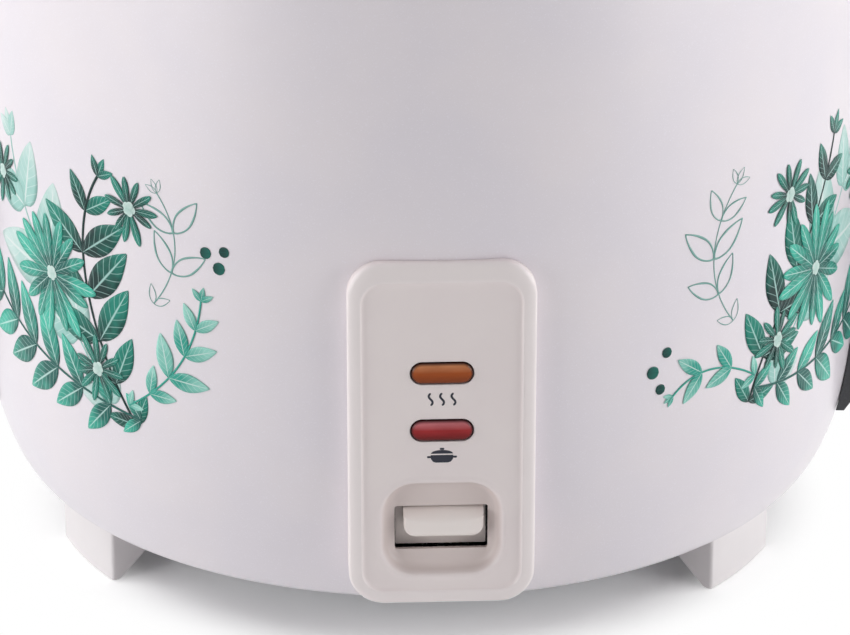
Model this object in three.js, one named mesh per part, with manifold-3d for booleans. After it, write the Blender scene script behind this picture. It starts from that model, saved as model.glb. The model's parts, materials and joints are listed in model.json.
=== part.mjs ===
// Drum rice cooker with a cook lever, a keep-warm lamp and a cook lamp.
// Millimetres, +Z up. The drum's axis is Z, the floor is Z = 0 and the front faces -Y.
import * as THREE from 'three';
import { mergeVertices } from 'three/addons/utils/BufferGeometryUtils.js';
import Module from 'manifold-3d';

const wasm = await Module();
wasm.setup();

// ---------- Clearances ----------
const seatGap = 0.3; // between pieces that rest on each other
const fitGap = 0.3; // round a pin, a lens or a sleeve in its hole
const facetDip = 0.3; // how far a flat facet of the drum lies inside its true circle
const cutMargin = 1; // how far a cutter reaches past the face that it opens
const buriedDepth = 12; // blank inside the drum, cut away where a piece seats on it

// ---------- Facets ----------
const bigSegments = 48; // drum, liner, pot and lid, alike so that they nest
const midSegments = 24; // sensor, magnet and knob
const plateSegments = 36; // heating plate
const smallSegments = 10; // screws, pins and rods

// ---------- Pot and liner ----------
const potRadius = 115.5;
const potWall = 1.3;
const potCornerRadius = 18;
const potFlangeWidth = 10;
const potClearance = 2.5; // between pot and liner
const linerWall = 1;
const linerCornerRadius = 10;
const linerFlangeWidth = 13;
const linerInnerRadius = potRadius + potClearance;
const linerOuterRadius = linerInnerRadius + linerWall;

// ---------- Legs ----------
const legHeight = 19.7;
const legHalfAngle = 9; // degrees
const legWall = 2.5;
const legFootDepth = 3; // depth of the leg where it meets the floor
const legTopDepth = 26;
const legTopPlate = 2.4;
const legInset = 2.6; // leg's outer face inside the edge of the drum's base
const legScrewInset = 13.4; // leg's outer face to its screw
const legScrewGrip = 7; // how far the screw reaches past the leg
const bracketTurn = -4.55; // degrees that legs and handles are turned from the control panel
const legAngles = { front_left: -60, front_right: 60, rear: 180 };

// ---------- Drum shell ----------
const drumGap = 17; // room for lamps and wires between liner and drum
const drumWall = 1;
const drumHeight = 196;
const drumCurveHeight = 65; // height of the lower curve
const drumCurveInset = 18; // how far the lower curve comes in
const drumFlangeWidth = 20;
const drumRimRound = 10; // height of the rounded shoulder under the rim
const drumRimInset = 5; // how far that shoulder comes in
const drumRimLip = 5;
const drumRadius = linerOuterRadius + drumGap + drumWall;
const drumBaseRadius = drumRadius - drumCurveInset;
const drumBaseZ = legHeight + seatGap;
const drumTopZ = drumBaseZ + drumHeight;
const drumCurveZ = drumBaseZ + drumCurveHeight;
const legRadius = drumBaseRadius - legInset;
const legScrewRadius = legRadius - legScrewInset;

// ---------- Bottom plate ----------
const bottomWall = 1;
const bottomPlateInset = 5;
const bottomRimWidth = 24; // flat rim that the leg screws go through
const bottomDishRise = 5;
const ventCount = 15;
const ventInset = 16; // from the edge of the raised middle to the vents
const ventLength = 26;
const ventWidth = 3.2;
const bottomPlateRadius = drumBaseRadius - bottomPlateInset;
const bottomDishRadius = bottomPlateRadius - bottomRimWidth;

// ---------- Sensor in the middle of the heating plate ----------
const sensorRadius = 21;
const sensorWall = 1.2;
const sensorEdge = 1;
const sensorSkirt = 10;
const sensorTravel = 2; // how far the pot can press it down from here
const sensorSpringWire = 0.8;
const sensorSpringTurns = 4;
const stemRadius = 10.3;
const stemWall = 1.2;
const stemLength = 26;
const ferriteHeight = 6.5;
const guideStep = 1.3; // guide's wall outside the sensor's
const guideFlangeWidth = 6.5;
const guideWall = 1;
const guideDepth = 5;
const guideRadius = sensorRadius + guideStep;

// ---------- Heating plate ----------
const linerFloorHeight = 46; // from the drum's base to the liner's floor
const linerHoleMargin = 2.2; // round the guide's flange
const postHeight = 3; // stand-off between liner floor and heating plate
const postWidthRadius = 5;
const postScrewRadius = 2;
const postNutHeight = 3;
const platePotInset = 29.5; // heating plate inside the pot's wall
const plateHeight = 18;
const plateEdgeHeight = 9;
const plateWebHeight = 11;
const plateRimWidth = 12; // web outside the element's ring
const plateRingWidth = 26; // the ring that holds the element
const plateRingSlope = 4;
const plateEdge = 1.5;
const sensorClearance = 2.5;
const terminalSpread = 30; // degrees either side of the rear
const postAngles = [60, -60, 180];
const terminalAngles = [180 - terminalSpread, 180 + terminalSpread];
const terminalRadius = 3;
const terminalStud = 8;
const terminalBlade = 11;
const terminalBladeWidth = 4.8;
const terminalBladeWall = 1;
const terminalHoleMargin = 3;
const plateRadius = potRadius - platePotInset;
const plateRingOuter = plateRadius - plateRimWidth;
const plateRingInner = plateRingOuter - plateRingWidth;
const plateRingMiddle = (plateRingInner + plateRingOuter) / 2;
const plateHoleRadius = sensorRadius + sensorClearance;
const linerHoleRadius = guideRadius + guideFlangeWidth + linerHoleMargin;
const linerFloorZ = drumBaseZ + linerFloorHeight;
const linerTopZ = drumTopZ + seatGap + linerWall;
const plateUndersideZ = linerFloorZ + linerWall + postHeight;
const plateTopZ = plateUndersideZ + plateHeight;
const potBottomZ = plateTopZ + seatGap;
const potTopZ = linerTopZ + seatGap + potWall;

// ---------- Control panel ----------
const panelWidth = 53;
const panelHeight = 106;
const panelCornerRadius = 9;
const panelRise = 7.4; // panel's lower edge above the drum's base
const panelStand = 3; // how far the rim stands in front of the drum
const panelRimWidth = 4;
const panelTopRim = 2; // how much wider the rim is along the top
const panelFaceInset = 1;
const panelFace = 2;
const panelSideWall = 2.2;
const lensWidth = 17.4;
const lensHeight = 6.3;
const lensFlange = 1.4;
const lensFlangeWall = 1.2;
const lensDome = 0.9;
const warmLensRise = 18.6; // above the panel's middle
const cookLensRise = 1.1;
const dishWidth = 35;
const dishHeight = 29.6;
const dishCornerRadius = 12;
const dishDepth = 4.8;
const dishWall = 1.8;
const dishLip = 1.1; // depth of the dish's steep upper edge
const dishLipInset = 2; // how far that edge comes in
const dishDrop = 29.5; // below the panel's middle
const slotWidth = 26.5;
const slotHeight = 13.6;
const slotCorner = 1.2;
const slotDrop = 30.7;
const windowMargin = 1; // between the dish's wall and the edge of the drum's window
const windowDepth = 15; // from the drum's front to the back of that cut
const panelScrewDrop = 11; // from the panel's top edge to its screw
const panelScrewCover = 1; // plastic left in front of the screw's tip
const bossRadius = 3.2;
const bossRecess = 0.5; // boss's end inside the drum's wall
const screwHeadRadius = 3.8;
const screwHeadHeight = 2;
const screwRadius = 1.7;
const panelBaseZ = drumBaseZ + panelRise;
const panelMidZ = panelBaseZ + panelHeight / 2;
const panelFrontY = -(drumRadius + panelStand);
const panelFaceY = panelFrontY + panelFaceInset;
const panelBackY = panelFaceY + panelFace;
const panelScrewZ = panelBaseZ + panelHeight - panelScrewDrop;
const panelScrewTipY = panelFaceY + panelScrewCover;
const warmLensZ = panelMidZ + warmLensRise;
const cookLensZ = panelMidZ + cookLensRise;
const dishZ = panelMidZ - dishDrop;
const dishFloorY = panelFaceY + dishDepth;
const slotZ = panelMidZ - slotDrop;

// ---------- Lamps ----------
const lampRadius = 2.6;
const lampLength = 14;
const lampPlay = 0.5;
const lampHolderWall = 3;
const lampHolderEar = 15; // how far each ear reaches along the drum
const lampHolderEarWall = 4;
const lampHolderBorder = 4; // above and below the lenses
const lampHolderShoulder = 5; // from its ends to its ears
const lampHolderDepth = drumGap / 2;
const lampFrontY = panelBackY + seatGap + lensFlangeWall + seatGap;
const lampMidY = lampFrontY + lampHolderDepth / 2;

// ---------- Cook lever ----------
const leverTravel = 3.3; // degrees
const pivotReach = 83; // distance of the lever's pivot from the axis
const pivotDrop = 4.3; // how far the pivot lies below the slot's middle
const tabSideGap = 1.85;
const tabSideways = 0.6; // the tab sits this far right of the slot's middle
const tabGapAbove = 0.7;
const tabGapBelow = 5.5;
const tabStand = 4; // how far the tab stands out of the slot
const tabSlope = 1.7; // how far its top drops towards the front
const tabCorner = 2.2;
const skirtWall = 1.6; // the plate behind the slot that carries the tab
const skirtGap = 1.4; // between that plate and the dish's floor
const skirtOverlap = 1.7; // past the slot's sides
const skirtFoot = 1.6; // past the slot's lower edge
const skirtHead = 4.4; // past the slot's upper edge
const armWidth = 12;
const armThickness = 1.4;
const armRise = 4; // arm above the pivot
const armToe = 1.5; // upturned end that meets the skirt
const earHeight = 9;
const earLength = 10;
const earTaper = 2;
const earThickness = 1.2;
const pinRadius = 1.8;
const pinOverhang = 1.5;
const bracketWall = 1.2;
const bracketPlay = 0.5;
const bracketLength = 16;
const bracketFlange = 6;
const bracketFoot = 4; // below the pin, and half the cheek's width there
const forkPlay = 0.6;
const forkEnd = 6; // how far the fork reaches past the axis
const tabWidth = slotWidth - 2 * tabSideGap;
const tabHeight = slotHeight - tabGapAbove - tabGapBelow;
const tabZ = slotZ + (tabGapBelow - tabGapAbove) / 2;
const skirtY = dishFloorY + dishWall + skirtGap;
const pivotY = -pivotReach;
const pivotZ = slotZ - pivotDrop;
const armZ = pivotZ + armRise;
const leverRise = pivotReach * THREE.MathUtils.degToRad(leverTravel);

// ---------- Magnet and its rod ----------
const magnetHeight = 6;
const magnetFit = 0.6;
const rodRadius = 2;
const rodTail = 2;
const collarRadius = 5.2;
const collarHeight = 1.2;
const collarPlay = 0.6; // room between each collar and the lever's fork
const releaseSpringRadius = 5.5;
const releaseSpringWire = 0.45;
const releaseSpringTurns = 3;
const ferriteTopZ = plateTopZ - sensorWall - seatGap;
const ferriteBottomZ = ferriteTopZ - ferriteHeight;
const guideFloorZ = plateUndersideZ - guideDepth;
const magnetTopZ = ferriteBottomZ - leverRise - sensorTravel - 2 * seatGap;

// ---------- Switch and fuse, hung under the liner's floor ----------
const switchSide = 10; // from the lever's edge
const switchReach = 48; // distance of the switch from the axis
const switchWidth = 8;
const switchLength = 20;
const switchFoot = 1.7; // block below its lower leaf
const leafSpacing = 3;
const leafThickness = 0.6;
const leafWidth = 6;
const leafOverlap = 2; // how far the leaves reach past the lever's middle
const fuseRadius = 2.2;
const fuseLength = 16;
const fuseReach = 40;
const switchX = armWidth / 2 + switchSide;
const switchY = -switchReach;
const leverRiseAtSwitch = leverRise * (pivotReach - switchReach + leafWidth / 2) / pivotReach;
const leafZ = armZ + armThickness + leverRiseAtSwitch + seatGap;

// ---------- Side handles ----------
const handleRise = 22; // lower tip above the drum's base
const handleHeight = 65;
const handleProjection = 30; // from the drum to the outer edge of the grip
const handleHalfWidth = 32.5;
const handleArm = 4; // thickness of the arms
const handleGrip = 6; // thickness of the grip
const handleLip = 14; // depth of the grip's outer lip
const handlePad = 3; // thickness of the pad on the drum
const handleCorner = 15;
const handleEdge = 2;
const handleTip = 3.3; // how far the arms stand out at their lower tip
const handleHug = 9; // how far they have swung out at the swell's height
const handleFlare = 9; // depth of the outward sweep into the grip's lip
const handleFlareDrop = 16; // height of that sweep
const handleSwell = 17; // height over which the arms hug the drum
const handleScrewRise = 20; // lower screw above the handle's tip
const handleScrewSpacing = 28;
const handleScrewCover = 1;
const handleBaseZ = drumBaseZ + handleRise;
const handleTopZ = handleBaseZ + handleHeight;
const handleReach = drumRadius + handleProjection;
const handleScrewZ = [handleBaseZ + handleScrewRise, handleBaseZ + handleScrewRise + handleScrewSpacing];

// ---------- Mains inlet ----------
const inletRise = 38; // above the drum's base
const inletWidth = 46;
const inletHeight = 27;
const inletCorner = 4;
const inletEdge = 0.8;
const inletStand = 3;
const inletMargin = 0.5; // sleeve's end inside the face
const inletMouthWidth = 24.4;
const inletMouthHeight = 16.6;
const inletMouthCorner = 2;
const inletWall = 2;
const inletDepth = 21;
const inletFloor = 2;
const inletPinSpacing = 7;
const inletPinRise = 2; // earth pin above the middle, the others as far below
const inletPinWidth = 2;
const inletPinHeight = 4;
const inletPinLength = 15.5;
const inletPinTail = 8;
const inletZ = drumBaseZ + inletRise;
const inletFaceY = drumRadius + inletStand;
const inletFloorY = inletFaceY - inletDepth + inletFloor;

// ---------- Lid ----------
const lidOverlap = 1.5; // glass past the pot's wall
const lidRise = 27;
const lidGlass = 4;
const lidRimHeight = 5;
const lidRimWall = 1;
const lidRimWidth = 6;
const knobRadius = 20;
const knobHeight = 24;
const knobStemRadius = 9;
const knobFoot = 2; // how much wider its foot is than its stem
const knobCrown = 3; // height of its crowned top
const knobEdge = 10; // from its top to the lower edge of its rim
const knobBore = 14;
const knobScrewRadius = 2.4;
const knobScrewGrip = 12;
const knobScrewHead = 6;
const washerHeight = 1.6;
const washerOverlap = 3;
const steamVentRadius = 60; // distance of the steam vent from the axis
const steamHoleRadius = 4;
const grommetWall = 1.4;
const grommetLip = 3;
const grommetStand = 1.6;
const grommetTail = 1.5; // below the glass
const lidRadius = potRadius + lidOverlap;
const lidBaseZ = potTopZ + seatGap;
const glassBaseZ = lidBaseZ + lidRimWall + seatGap;
// The glass is a shallow dome, a cap of a sphere of this radius.
const domeRadius = (lidRadius ** 2 + lidRise ** 2) / (2 * lidRise);
const innerDomeRadius = domeRadius - lidGlass;
const glassTopZ = glassBaseZ + domeRadius - Math.sqrt(innerDomeRadius ** 2 - lidRadius ** 2);

// ---------- Finishes ----------
const finishes = {
  pearl_paint: { color: 0xd5cfd1, roughness: 0.35, metalness: 0.0 },
  white_plastic: { color: 0xd9d4d2, roughness: 0.4, metalness: 0.0 },
  black_plastic: { color: 0x2f3032, roughness: 0.45, metalness: 0.0 },
  amber_lens: { color: 0x94502c, roughness: 0.15, metalness: 0.0 },
  red_lens: { color: 0x9c3238, roughness: 0.15, metalness: 0.0 },
  aluminium: { color: 0xb9bbbd, roughness: 0.35, metalness: 1.0 },
  steel: { color: 0x9da0a3, roughness: 0.3, metalness: 1.0 },
  brass: { color: 0xb9974f, roughness: 0.35, metalness: 1.0 },
  ferrite: { color: 0x3a3b3d, roughness: 0.7, metalness: 0.2 },
  clear_glass: { color: 0xcfe0dc, roughness: 0.05, metalness: 0.0 },
  silicone: { color: 0x4a4a4c, roughness: 0.8, metalness: 0.0 },
  phenolic: { color: 0x5b4030, roughness: 0.6, metalness: 0.0 },
};

// ---------- Solids from three.js geometry ----------
function toSolid(geometry) {
  const bare = geometry.clone();
  bare.deleteAttribute('normal');
  bare.deleteAttribute('uv');
  const merged = mergeVertices(bare);
  const index = merged.index.array;
  const triangles = [];
  for (let i = 0; i < index.length; i += 3) {
    const [a, b, c] = index.slice(i, i + 3);
    if (a !== b && b !== c && c !== a) triangles.push(a, b, c);
  }
  const mesh = new wasm.Mesh({
    numProp: 3,
    vertProperties: new Float32Array(merged.attributes.position.array),
    triVerts: new Uint32Array(triangles),
  });
  return new wasm.Manifold(mesh);
}

function toGeometry(solid) {
  const mesh = solid.getMesh();
  const geometry = new THREE.BufferGeometry();
  geometry.setAttribute('position', new THREE.BufferAttribute(mesh.vertProperties, 3));
  geometry.setIndex(new THREE.BufferAttribute(mesh.triVerts, 1));
  geometry.computeVertexNormals();
  return geometry;
}

// Turns a profile, given as (radius, height), round the Z axis.
function revolve(profile, segments, divisions = 3) {
  const points = profile.getPoints(divisions);
  const onAxis = points[0].x === 0 && points[points.length - 1].x === 0;
  if (!onAxis) points.push(points[0].clone());
  if (THREE.ShapeUtils.area(points) < 0) points.reverse();
  const geometry = new THREE.LatheGeometry(points, segments);
  return toSolid(geometry.rotateX(Math.PI / 2));
}

function outline(points) {
  return new THREE.Shape(points.map(([x, y]) => new THREE.Vector2(x, y)));
}

function disc(radius, z0, z1, segments = smallSegments, hole = 0) {
  return revolve(outline([[hole, z0], [radius, z0], [radius, z1], [hole, z1]]), segments);
}

function extrude(shape, depth, curveSegments = 6) {
  return new THREE.ExtrudeGeometry(shape, { depth, bevelEnabled: false, curveSegments });
}

// An (x, y) outline pushed up from z0 to z1.
function extrudeUp(shape, z0, z1, curveSegments) {
  return toSolid(extrude(shape, z1 - z0, curveSegments).translate(0, 0, z0));
}

// An (x, z) outline pushed from y0 to the smaller y1.
function extrudeForward(shape, y0, y1, curveSegments) {
  return toSolid(extrude(shape, y0 - y1, curveSegments).rotateX(Math.PI / 2).translate(0, y0, 0));
}

// A (y, z) outline pushed along X, centred on x.
function extrudeAcross(shape, width, x = 0, curveSegments = 6) {
  const axes = [new THREE.Vector3(0, 1, 0), new THREE.Vector3(0, 0, 1), new THREE.Vector3(1, 0, 0)];
  const geometry = extrude(shape, width, curveSegments).translate(0, 0, -width / 2);
  geometry.applyMatrix4(new THREE.Matrix4().makeBasis(...axes));
  return toSolid(geometry.translate(x, 0, 0));
}

function box(x0, x1, y0, y1, z0, z1) {
  const geometry = new THREE.BoxGeometry(x1 - x0, y1 - y0, z1 - z0);
  return toSolid(geometry.translate((x0 + x1) / 2, (y0 + y1) / 2, (z0 + z1) / 2));
}

// A round bar along Y, from y0 to y1, centred on x and z.
function barAlongY(radius, x, z, y0, y1, segments = smallSegments) {
  const bar = new THREE.CylinderGeometry(radius, radius, y1 - y0, segments);
  return toSolid(bar.translate(x, (y0 + y1) / 2, z));
}

function barAlongX(radius, y, z, length, segments = smallSegments) {
  const bar = new THREE.CylinderGeometry(radius, radius, length, segments);
  return toSolid(bar.rotateZ(Math.PI / 2).translate(0, y, z));
}

function atAngle(radius, degrees) {
  const angle = THREE.MathUtils.degToRad(degrees);
  return [radius * Math.sin(angle), -radius * Math.cos(angle)];
}

function roundedRect(width, height, radius, cornerPoints = 5) {
  const corner = Math.min(radius, width / 2 - 0.01, height / 2 - 0.01);
  const centres = [[1, 1], [-1, 1], [-1, -1], [1, -1]];
  const points = [];
  centres.forEach(([sx, sy], quarter) => {
    for (let i = 0; i < cornerPoints; i += 1) {
      const angle = (quarter + i / (cornerPoints - 1)) * Math.PI / 2;
      const x = sx * (width / 2 - corner) + corner * Math.cos(angle);
      const y = sy * (height / 2 - corner) + corner * Math.sin(angle);
      points.push([x, y]);
    }
  });
  return points;
}

// Joins rounded rectangles that stand across Y. Each section gives its size, corner and y.
function loftForward(sections, z = 0, x = 0, cornerPoints = 5) {
  const rings = sections.map(({ width, height, corner, y, lift = 0 }) => (
    roundedRect(width, height, corner, cornerPoints).map(([px, pz]) => [px + x, y, pz + z + lift])));
  const count = rings[0].length;
  const positions = rings.flat();
  const triangles = [];
  for (let ring = 0; ring + 1 < rings.length; ring += 1) {
    for (let i = 0; i < count; i += 1) {
      const a = ring * count + i;
      const b = ring * count + (i + 1) % count;
      triangles.push(a, a + count, b + count, a, b + count, b);
    }
  }
  for (let i = 1; i + 1 < count; i += 1) {
    const last = (rings.length - 1) * count;
    triangles.push(0, i, i + 1, last, last + i + 1, last + i);
  }
  const geometry = new THREE.BufferGeometry();
  geometry.setAttribute('position', new THREE.Float32BufferAttribute(positions.flat(), 3));
  geometry.setIndex(triangles);
  const solid = toSolid(geometry);
  return solid.volume() < 0 ? toSolid(flip(geometry)) : solid;
}

function flip(geometry) {
  const index = Array.from(geometry.index.array);
  for (let i = 0; i < index.length; i += 3) [index[i], index[i + 1]] = [index[i + 1], index[i]];
  geometry.setIndex(index);
  return geometry;
}

class Helix extends THREE.Curve {
  constructor(radius, z0, z1, turns) {
    super();
    Object.assign(this, { radius, z0, z1, turns });
  }

  getPoint(t) {
    const angle = 2 * Math.PI * this.turns * t;
    const z = this.z0 + (this.z1 - this.z0) * t;
    return new THREE.Vector3(this.radius * Math.cos(angle), this.radius * Math.sin(angle), z);
  }
}

function spring(radius, wire, z0, z1, turns) {
  const section = new THREE.Shape().absarc(0, 0, wire, 0, 2 * Math.PI);
  const extrudePath = new Helix(radius, z0 + wire, z1 - wire, turns);
  const steps = Math.round(turns * 12);
  const options = { steps, extrudePath, bevelEnabled: false, curveSegments: 3 };
  return toSolid(new THREE.ExtrudeGeometry(section, options));
}

// ---------- Drum ----------
// The radius of the drum's outer face at the height z of its lower curve or its wall.
function drumRadiusAt(z) {
  const drop = Math.max(0, (drumCurveZ - z) / drumCurveHeight);
  return drumBaseRadius + drumCurveInset * Math.sqrt(1 - drop ** 2);
}

// The drum's outline moved outwards by offset, from the base to the top.
function drumCurve(profile, offset, upwards) {
  const startX = drumBaseRadius + offset;
  const rimX = drumRadius + offset - drumRimInset;
  const rimZ = drumTopZ + offset - drumRimRound;
  const curveHeight = drumCurveHeight + offset;
  if (upwards) {
    profile.absellipse(startX, drumCurveZ, drumCurveInset, curveHeight, -Math.PI / 2, 0, false);
    profile.lineTo(drumRadius + offset, rimZ);
    profile.absellipse(rimX, rimZ, drumRimInset, drumRimRound, 0, Math.PI / 2, false);
  } else {
    profile.absellipse(rimX, rimZ, drumRimInset, drumRimRound, Math.PI / 2, 0, true);
    profile.lineTo(drumRadius + offset, drumCurveZ);
    profile.absellipse(startX, drumCurveZ, drumCurveInset, curveHeight, 0, -Math.PI / 2, true);
  }
}

// The whole space inside the drum's outline, used to cut what seats on the drum.
function drumSpace(offset) {
  const profile = new THREE.Shape().moveTo(0, drumBaseZ - offset);
  drumCurve(profile, offset, true);
  profile.lineTo(0, drumTopZ + offset);
  return revolve(profile, bigSegments, 2);
}

function outerShell() {
  const flangeRadius = drumBaseRadius - drumFlangeWidth;
  const lipRadius = drumRadius - drumRimInset - drumRimLip;
  const profile = new THREE.Shape().moveTo(flangeRadius, drumBaseZ);
  drumCurve(profile, 0, true);
  profile.lineTo(lipRadius, drumTopZ);
  profile.lineTo(lipRadius, drumTopZ - drumWall);
  drumCurve(profile, -drumWall, false);
  profile.lineTo(flangeRadius, drumBaseZ + drumWall);
  return revolve(profile, bigSegments, 2)
    .subtract(panelWindow())
    .subtract(panelBoss(fitGap, drumRadius - buriedDepth))
    .subtract(inletSleeve(fitGap))
    .subtract(legScrewHoles())
    .subtract(handleScrewHoles());
}

function panelWindow() {
  const halfWidth = dishWidth / 2 + dishWall + windowMargin;
  const lowZ = dishZ - dishHeight / 2 - dishWall - windowMargin;
  const highZ = warmLensZ + lensHeight / 2 + lensFlange + windowMargin;
  return box(-halfWidth, halfWidth, panelFrontY, -drumRadius + windowDepth, lowZ, highZ);
}

// Round holes straight up through the base for the leg screws.
function legScrewHoles() {
  const highZ = drumBaseZ + drumWall + seatGap + bottomWall + cutMargin;
  return Object.values(legAngles).map((angle) => {
    const [x, y] = atAngle(legScrewRadius, angle + bracketTurn);
    return disc(screwRadius + fitGap, drumBaseZ - cutMargin, highZ).translate(x, y, 0);
  }).reduce((all, hole) => all.add(hole));
}

// The end of the handle screw at the height z, inside the handle's pad.
function handleScrewTip(z) {
  return drumRadiusAt(z) + seatGap + handlePad - handleScrewCover;
}

// A hole for a handle screw, drawn towards +X.
function handleScrewHole(z) {
  const tipY = -handleScrewTip(z) - fitGap;
  return barAlongY(screwRadius + fitGap, 0, z, tipY, -drumRadius + buriedDepth).rotate(0, 0, 90);
}

function handleScrewHoles() {
  const bars = handleScrewZ.flatMap((z) => (
    [0, 180].map((angle) => handleScrewHole(z).rotate(0, 0, angle + bracketTurn))));
  return bars.reduce((all, bar) => all.add(bar));
}

function bottomPlate() {
  const z = drumBaseZ + drumWall + seatGap;
  const rise = z + bottomDishRise;
  const slopeRadius = bottomDishRadius + bottomDishRise;
  const plate = revolve(outline([
    [0, rise], [bottomDishRadius, rise], [slopeRadius, z], [bottomPlateRadius, z],
    [bottomPlateRadius, z + bottomWall], [slopeRadius, z + bottomWall],
    [bottomDishRadius, rise + bottomWall], [0, rise + bottomWall]]), bigSegments);
  const slot = outline(roundedRect(ventWidth, ventLength, ventWidth / 2, 2));
  const middle = bottomDishRadius - ventInset - ventLength / 2;
  let result = plate.subtract(legScrewHoles());
  for (let i = 0; i < ventCount; i += 1) {
    const cut = extrudeUp(slot, z - cutMargin, rise + bottomWall + cutMargin);
    result = result.subtract(cut.translate(0, middle, 0).rotate(0, 0, 360 * i / ventCount));
  }
  return result;
}

// ---------- Legs, drawn with their outer face towards +X ----------
function sector(inner, outer, halfAngle, z0, z1) {
  const half = THREE.MathUtils.degToRad(halfAngle);
  const shape = new THREE.Shape().absarc(0, 0, outer, -half, half, false);
  shape.absarc(0, 0, inner, half, -half, true);
  return extrudeUp(shape, z0, z1, 4);
}

function leg() {
  const inner = legRadius - legTopDepth;
  const outer = legRadius + cutMargin;
  const wallAngle = THREE.MathUtils.radToDeg(legWall / legRadius);
  const plateZ = legHeight - legTopPlate;
  const side = outline([
    [outer, 0], [legRadius - legFootDepth, 0], [inner, plateZ], [inner, legHeight], [outer, legHeight]]);
  const body = sector(inner, legRadius, legHalfAngle, 0, legHeight);
  const taper = extrudeForward(side, legRadius, -legRadius);
  const hollow = sector(
    inner - cutMargin, legRadius - legWall, legHalfAngle - wallAngle, -cutMargin, plateZ);
  const hole = disc(screwRadius + fitGap, plateZ - cutMargin, legHeight + cutMargin);
  return body.intersect(taper).subtract(hollow).subtract(hole.translate(legScrewRadius, 0, 0));
}

// A pan-head screw along Z with its head below headZ.
function screwUp(headZ, length) {
  const lowZ = headZ - screwHeadHeight;
  const profile = outline([
    [0, lowZ], [screwHeadRadius * 0.7, lowZ], [screwHeadRadius, headZ - screwHeadHeight * 0.5],
    [screwHeadRadius, headZ], [screwRadius, headZ], [screwRadius, headZ + length], [0, headZ + length]]);
  return revolve(profile, smallSegments);
}

function legScrew() {
  const headZ = legHeight - legTopPlate - seatGap;
  return screwUp(headZ, legTopPlate + legScrewGrip).translate(legScrewRadius, 0, 0);
}

// ---------- Side handles, drawn with their grip towards +X ----------
function handleSide() {
  const inner = drumRadius - buriedDepth;
  const tip = drumRadiusAt(handleBaseZ) + handleTip;
  const lipZ = handleTopZ - handleLip;
  const shape = new THREE.Shape().moveTo(inner, handleBaseZ);
  shape.lineTo(tip, handleBaseZ);
  shape.bezierCurveTo(
    tip + handleHug, handleBaseZ + handleSwell,
    handleReach - handleFlare, lipZ - handleFlareDrop, handleReach, lipZ);
  shape.lineTo(handleReach, handleTopZ - handleEdge);
  shape.lineTo(handleReach - handleEdge, handleTopZ);
  shape.lineTo(inner, handleTopZ);
  return shape;
}

// The handle seen from above, with its outer faces moved in by inset.
function handlePlan(inset) {
  const reach = handleReach - inset;
  const halfWidth = handleHalfWidth - inset;
  const corner = handleCorner - inset;
  const inner = drumRadius - 2 * buriedDepth;
  const shape = new THREE.Shape().moveTo(inner, -halfWidth);
  shape.lineTo(reach - corner, -halfWidth);
  shape.absarc(reach - corner, -halfWidth + corner, corner, -Math.PI / 2, 0, false);
  shape.absarc(reach - corner, halfWidth - corner, corner, 0, Math.PI / 2, false);
  shape.lineTo(inner, halfWidth);
  return shape;
}

function handle() {
  const lowZ = handleBaseZ - cutMargin;
  const across = extrudeForward(handleSide(), handleHalfWidth + cutMargin, -handleHalfWidth - cutMargin, 6);
  const block = across.intersect(extrudeUp(handlePlan(0), lowZ, handleTopZ + cutMargin, 5));
  const hollow = extrudeUp(handlePlan(handleArm), lowZ, handleTopZ - handleGrip, 5);
  const pad = drumSpace(handlePad + seatGap);
  const seated = block.subtract(hollow.subtract(pad)).subtract(drumSpace(seatGap));
  return handleScrewZ.reduce((rest, z) => rest.subtract(handleScrewHole(z)), seated);
}

// A screw from inside the drum into the handle's pad, drawn towards +X.
function handleScrew(z) {
  const headX = drumRadiusAt(z - screwHeadRadius) - drumWall - seatGap - facetDip;
  return screwUp(headX, handleScrewTip(z) - headX).rotate(0, 90, 0).translate(0, 0, z);
}

// ---------- Control panel ----------
// The panel's outline with its sides moved in by inset and its top by topInset.
function panelRing(inset, y, topInset = inset) {
  return {
    width: panelWidth - 2 * inset,
    height: panelHeight - inset - topInset,
    corner: panelCornerRadius - inset,
    lift: (inset - topInset) / 2,
    y,
  };
}

function panelBody() {
  const side = panelRimWidth;
  const top = panelRimWidth + panelTopRim;
  const step = panelFaceInset;
  return loftForward([
    panelRing(0, -drumRadius + windowDepth), panelRing(0, panelFrontY + step * 1.8),
    panelRing(side * 0.08, panelFrontY + step * 0.8), panelRing(side * 0.27, panelFrontY + step * 0.15),
    panelRing(side * 0.45, panelFrontY, top * 0.45),
    panelRing(side * 0.72, panelFrontY + step * 0.2, top * 0.72),
    panelRing(side, panelFaceY, top)], panelMidZ);
}

function panelHollow() {
  return loftForward([
    panelRing(panelSideWall, -drumRadius + windowDepth + cutMargin),
    panelRing(panelSideWall, panelBackY)], panelMidZ);
}

// The dish and the slot in its floor, each grown by wall.
function dishFunnel(wall, backY, frontY) {
  const lift = slotZ - dishZ;
  const slot = {
    width: slotWidth + 2 * wall, height: slotHeight + 2 * wall, corner: slotCorner + wall, lift };
  const width = dishWidth + 2 * wall;
  const height = dishHeight + 2 * wall;
  const edge = {
    width: width - 2 * dishLipInset, height: height - 2 * dishLipInset,
    corner: dishCornerRadius - dishLipInset, lift: lift / 4 };
  const mouth = { width, height, corner: dishCornerRadius + wall };
  return loftForward([
    { ...slot, y: backY }, { ...slot, y: dishFloorY }, { ...edge, y: panelFaceY + dishLip },
    { ...mouth, y: panelFaceY }, { ...mouth, y: frontY }], dishZ);
}

// The round boss that passes through the drum to take the panel's screw.
function panelBoss(grow, backReach) {
  return barAlongY(bossRadius + grow, 0, panelScrewZ, panelBackY - panelFace / 2, -backReach);
}

function panelScrewHole() {
  const tipY = panelScrewTipY - fitGap;
  return barAlongY(screwRadius + fitGap, 0, panelScrewZ, tipY, -drumRadius + buriedDepth);
}

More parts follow.
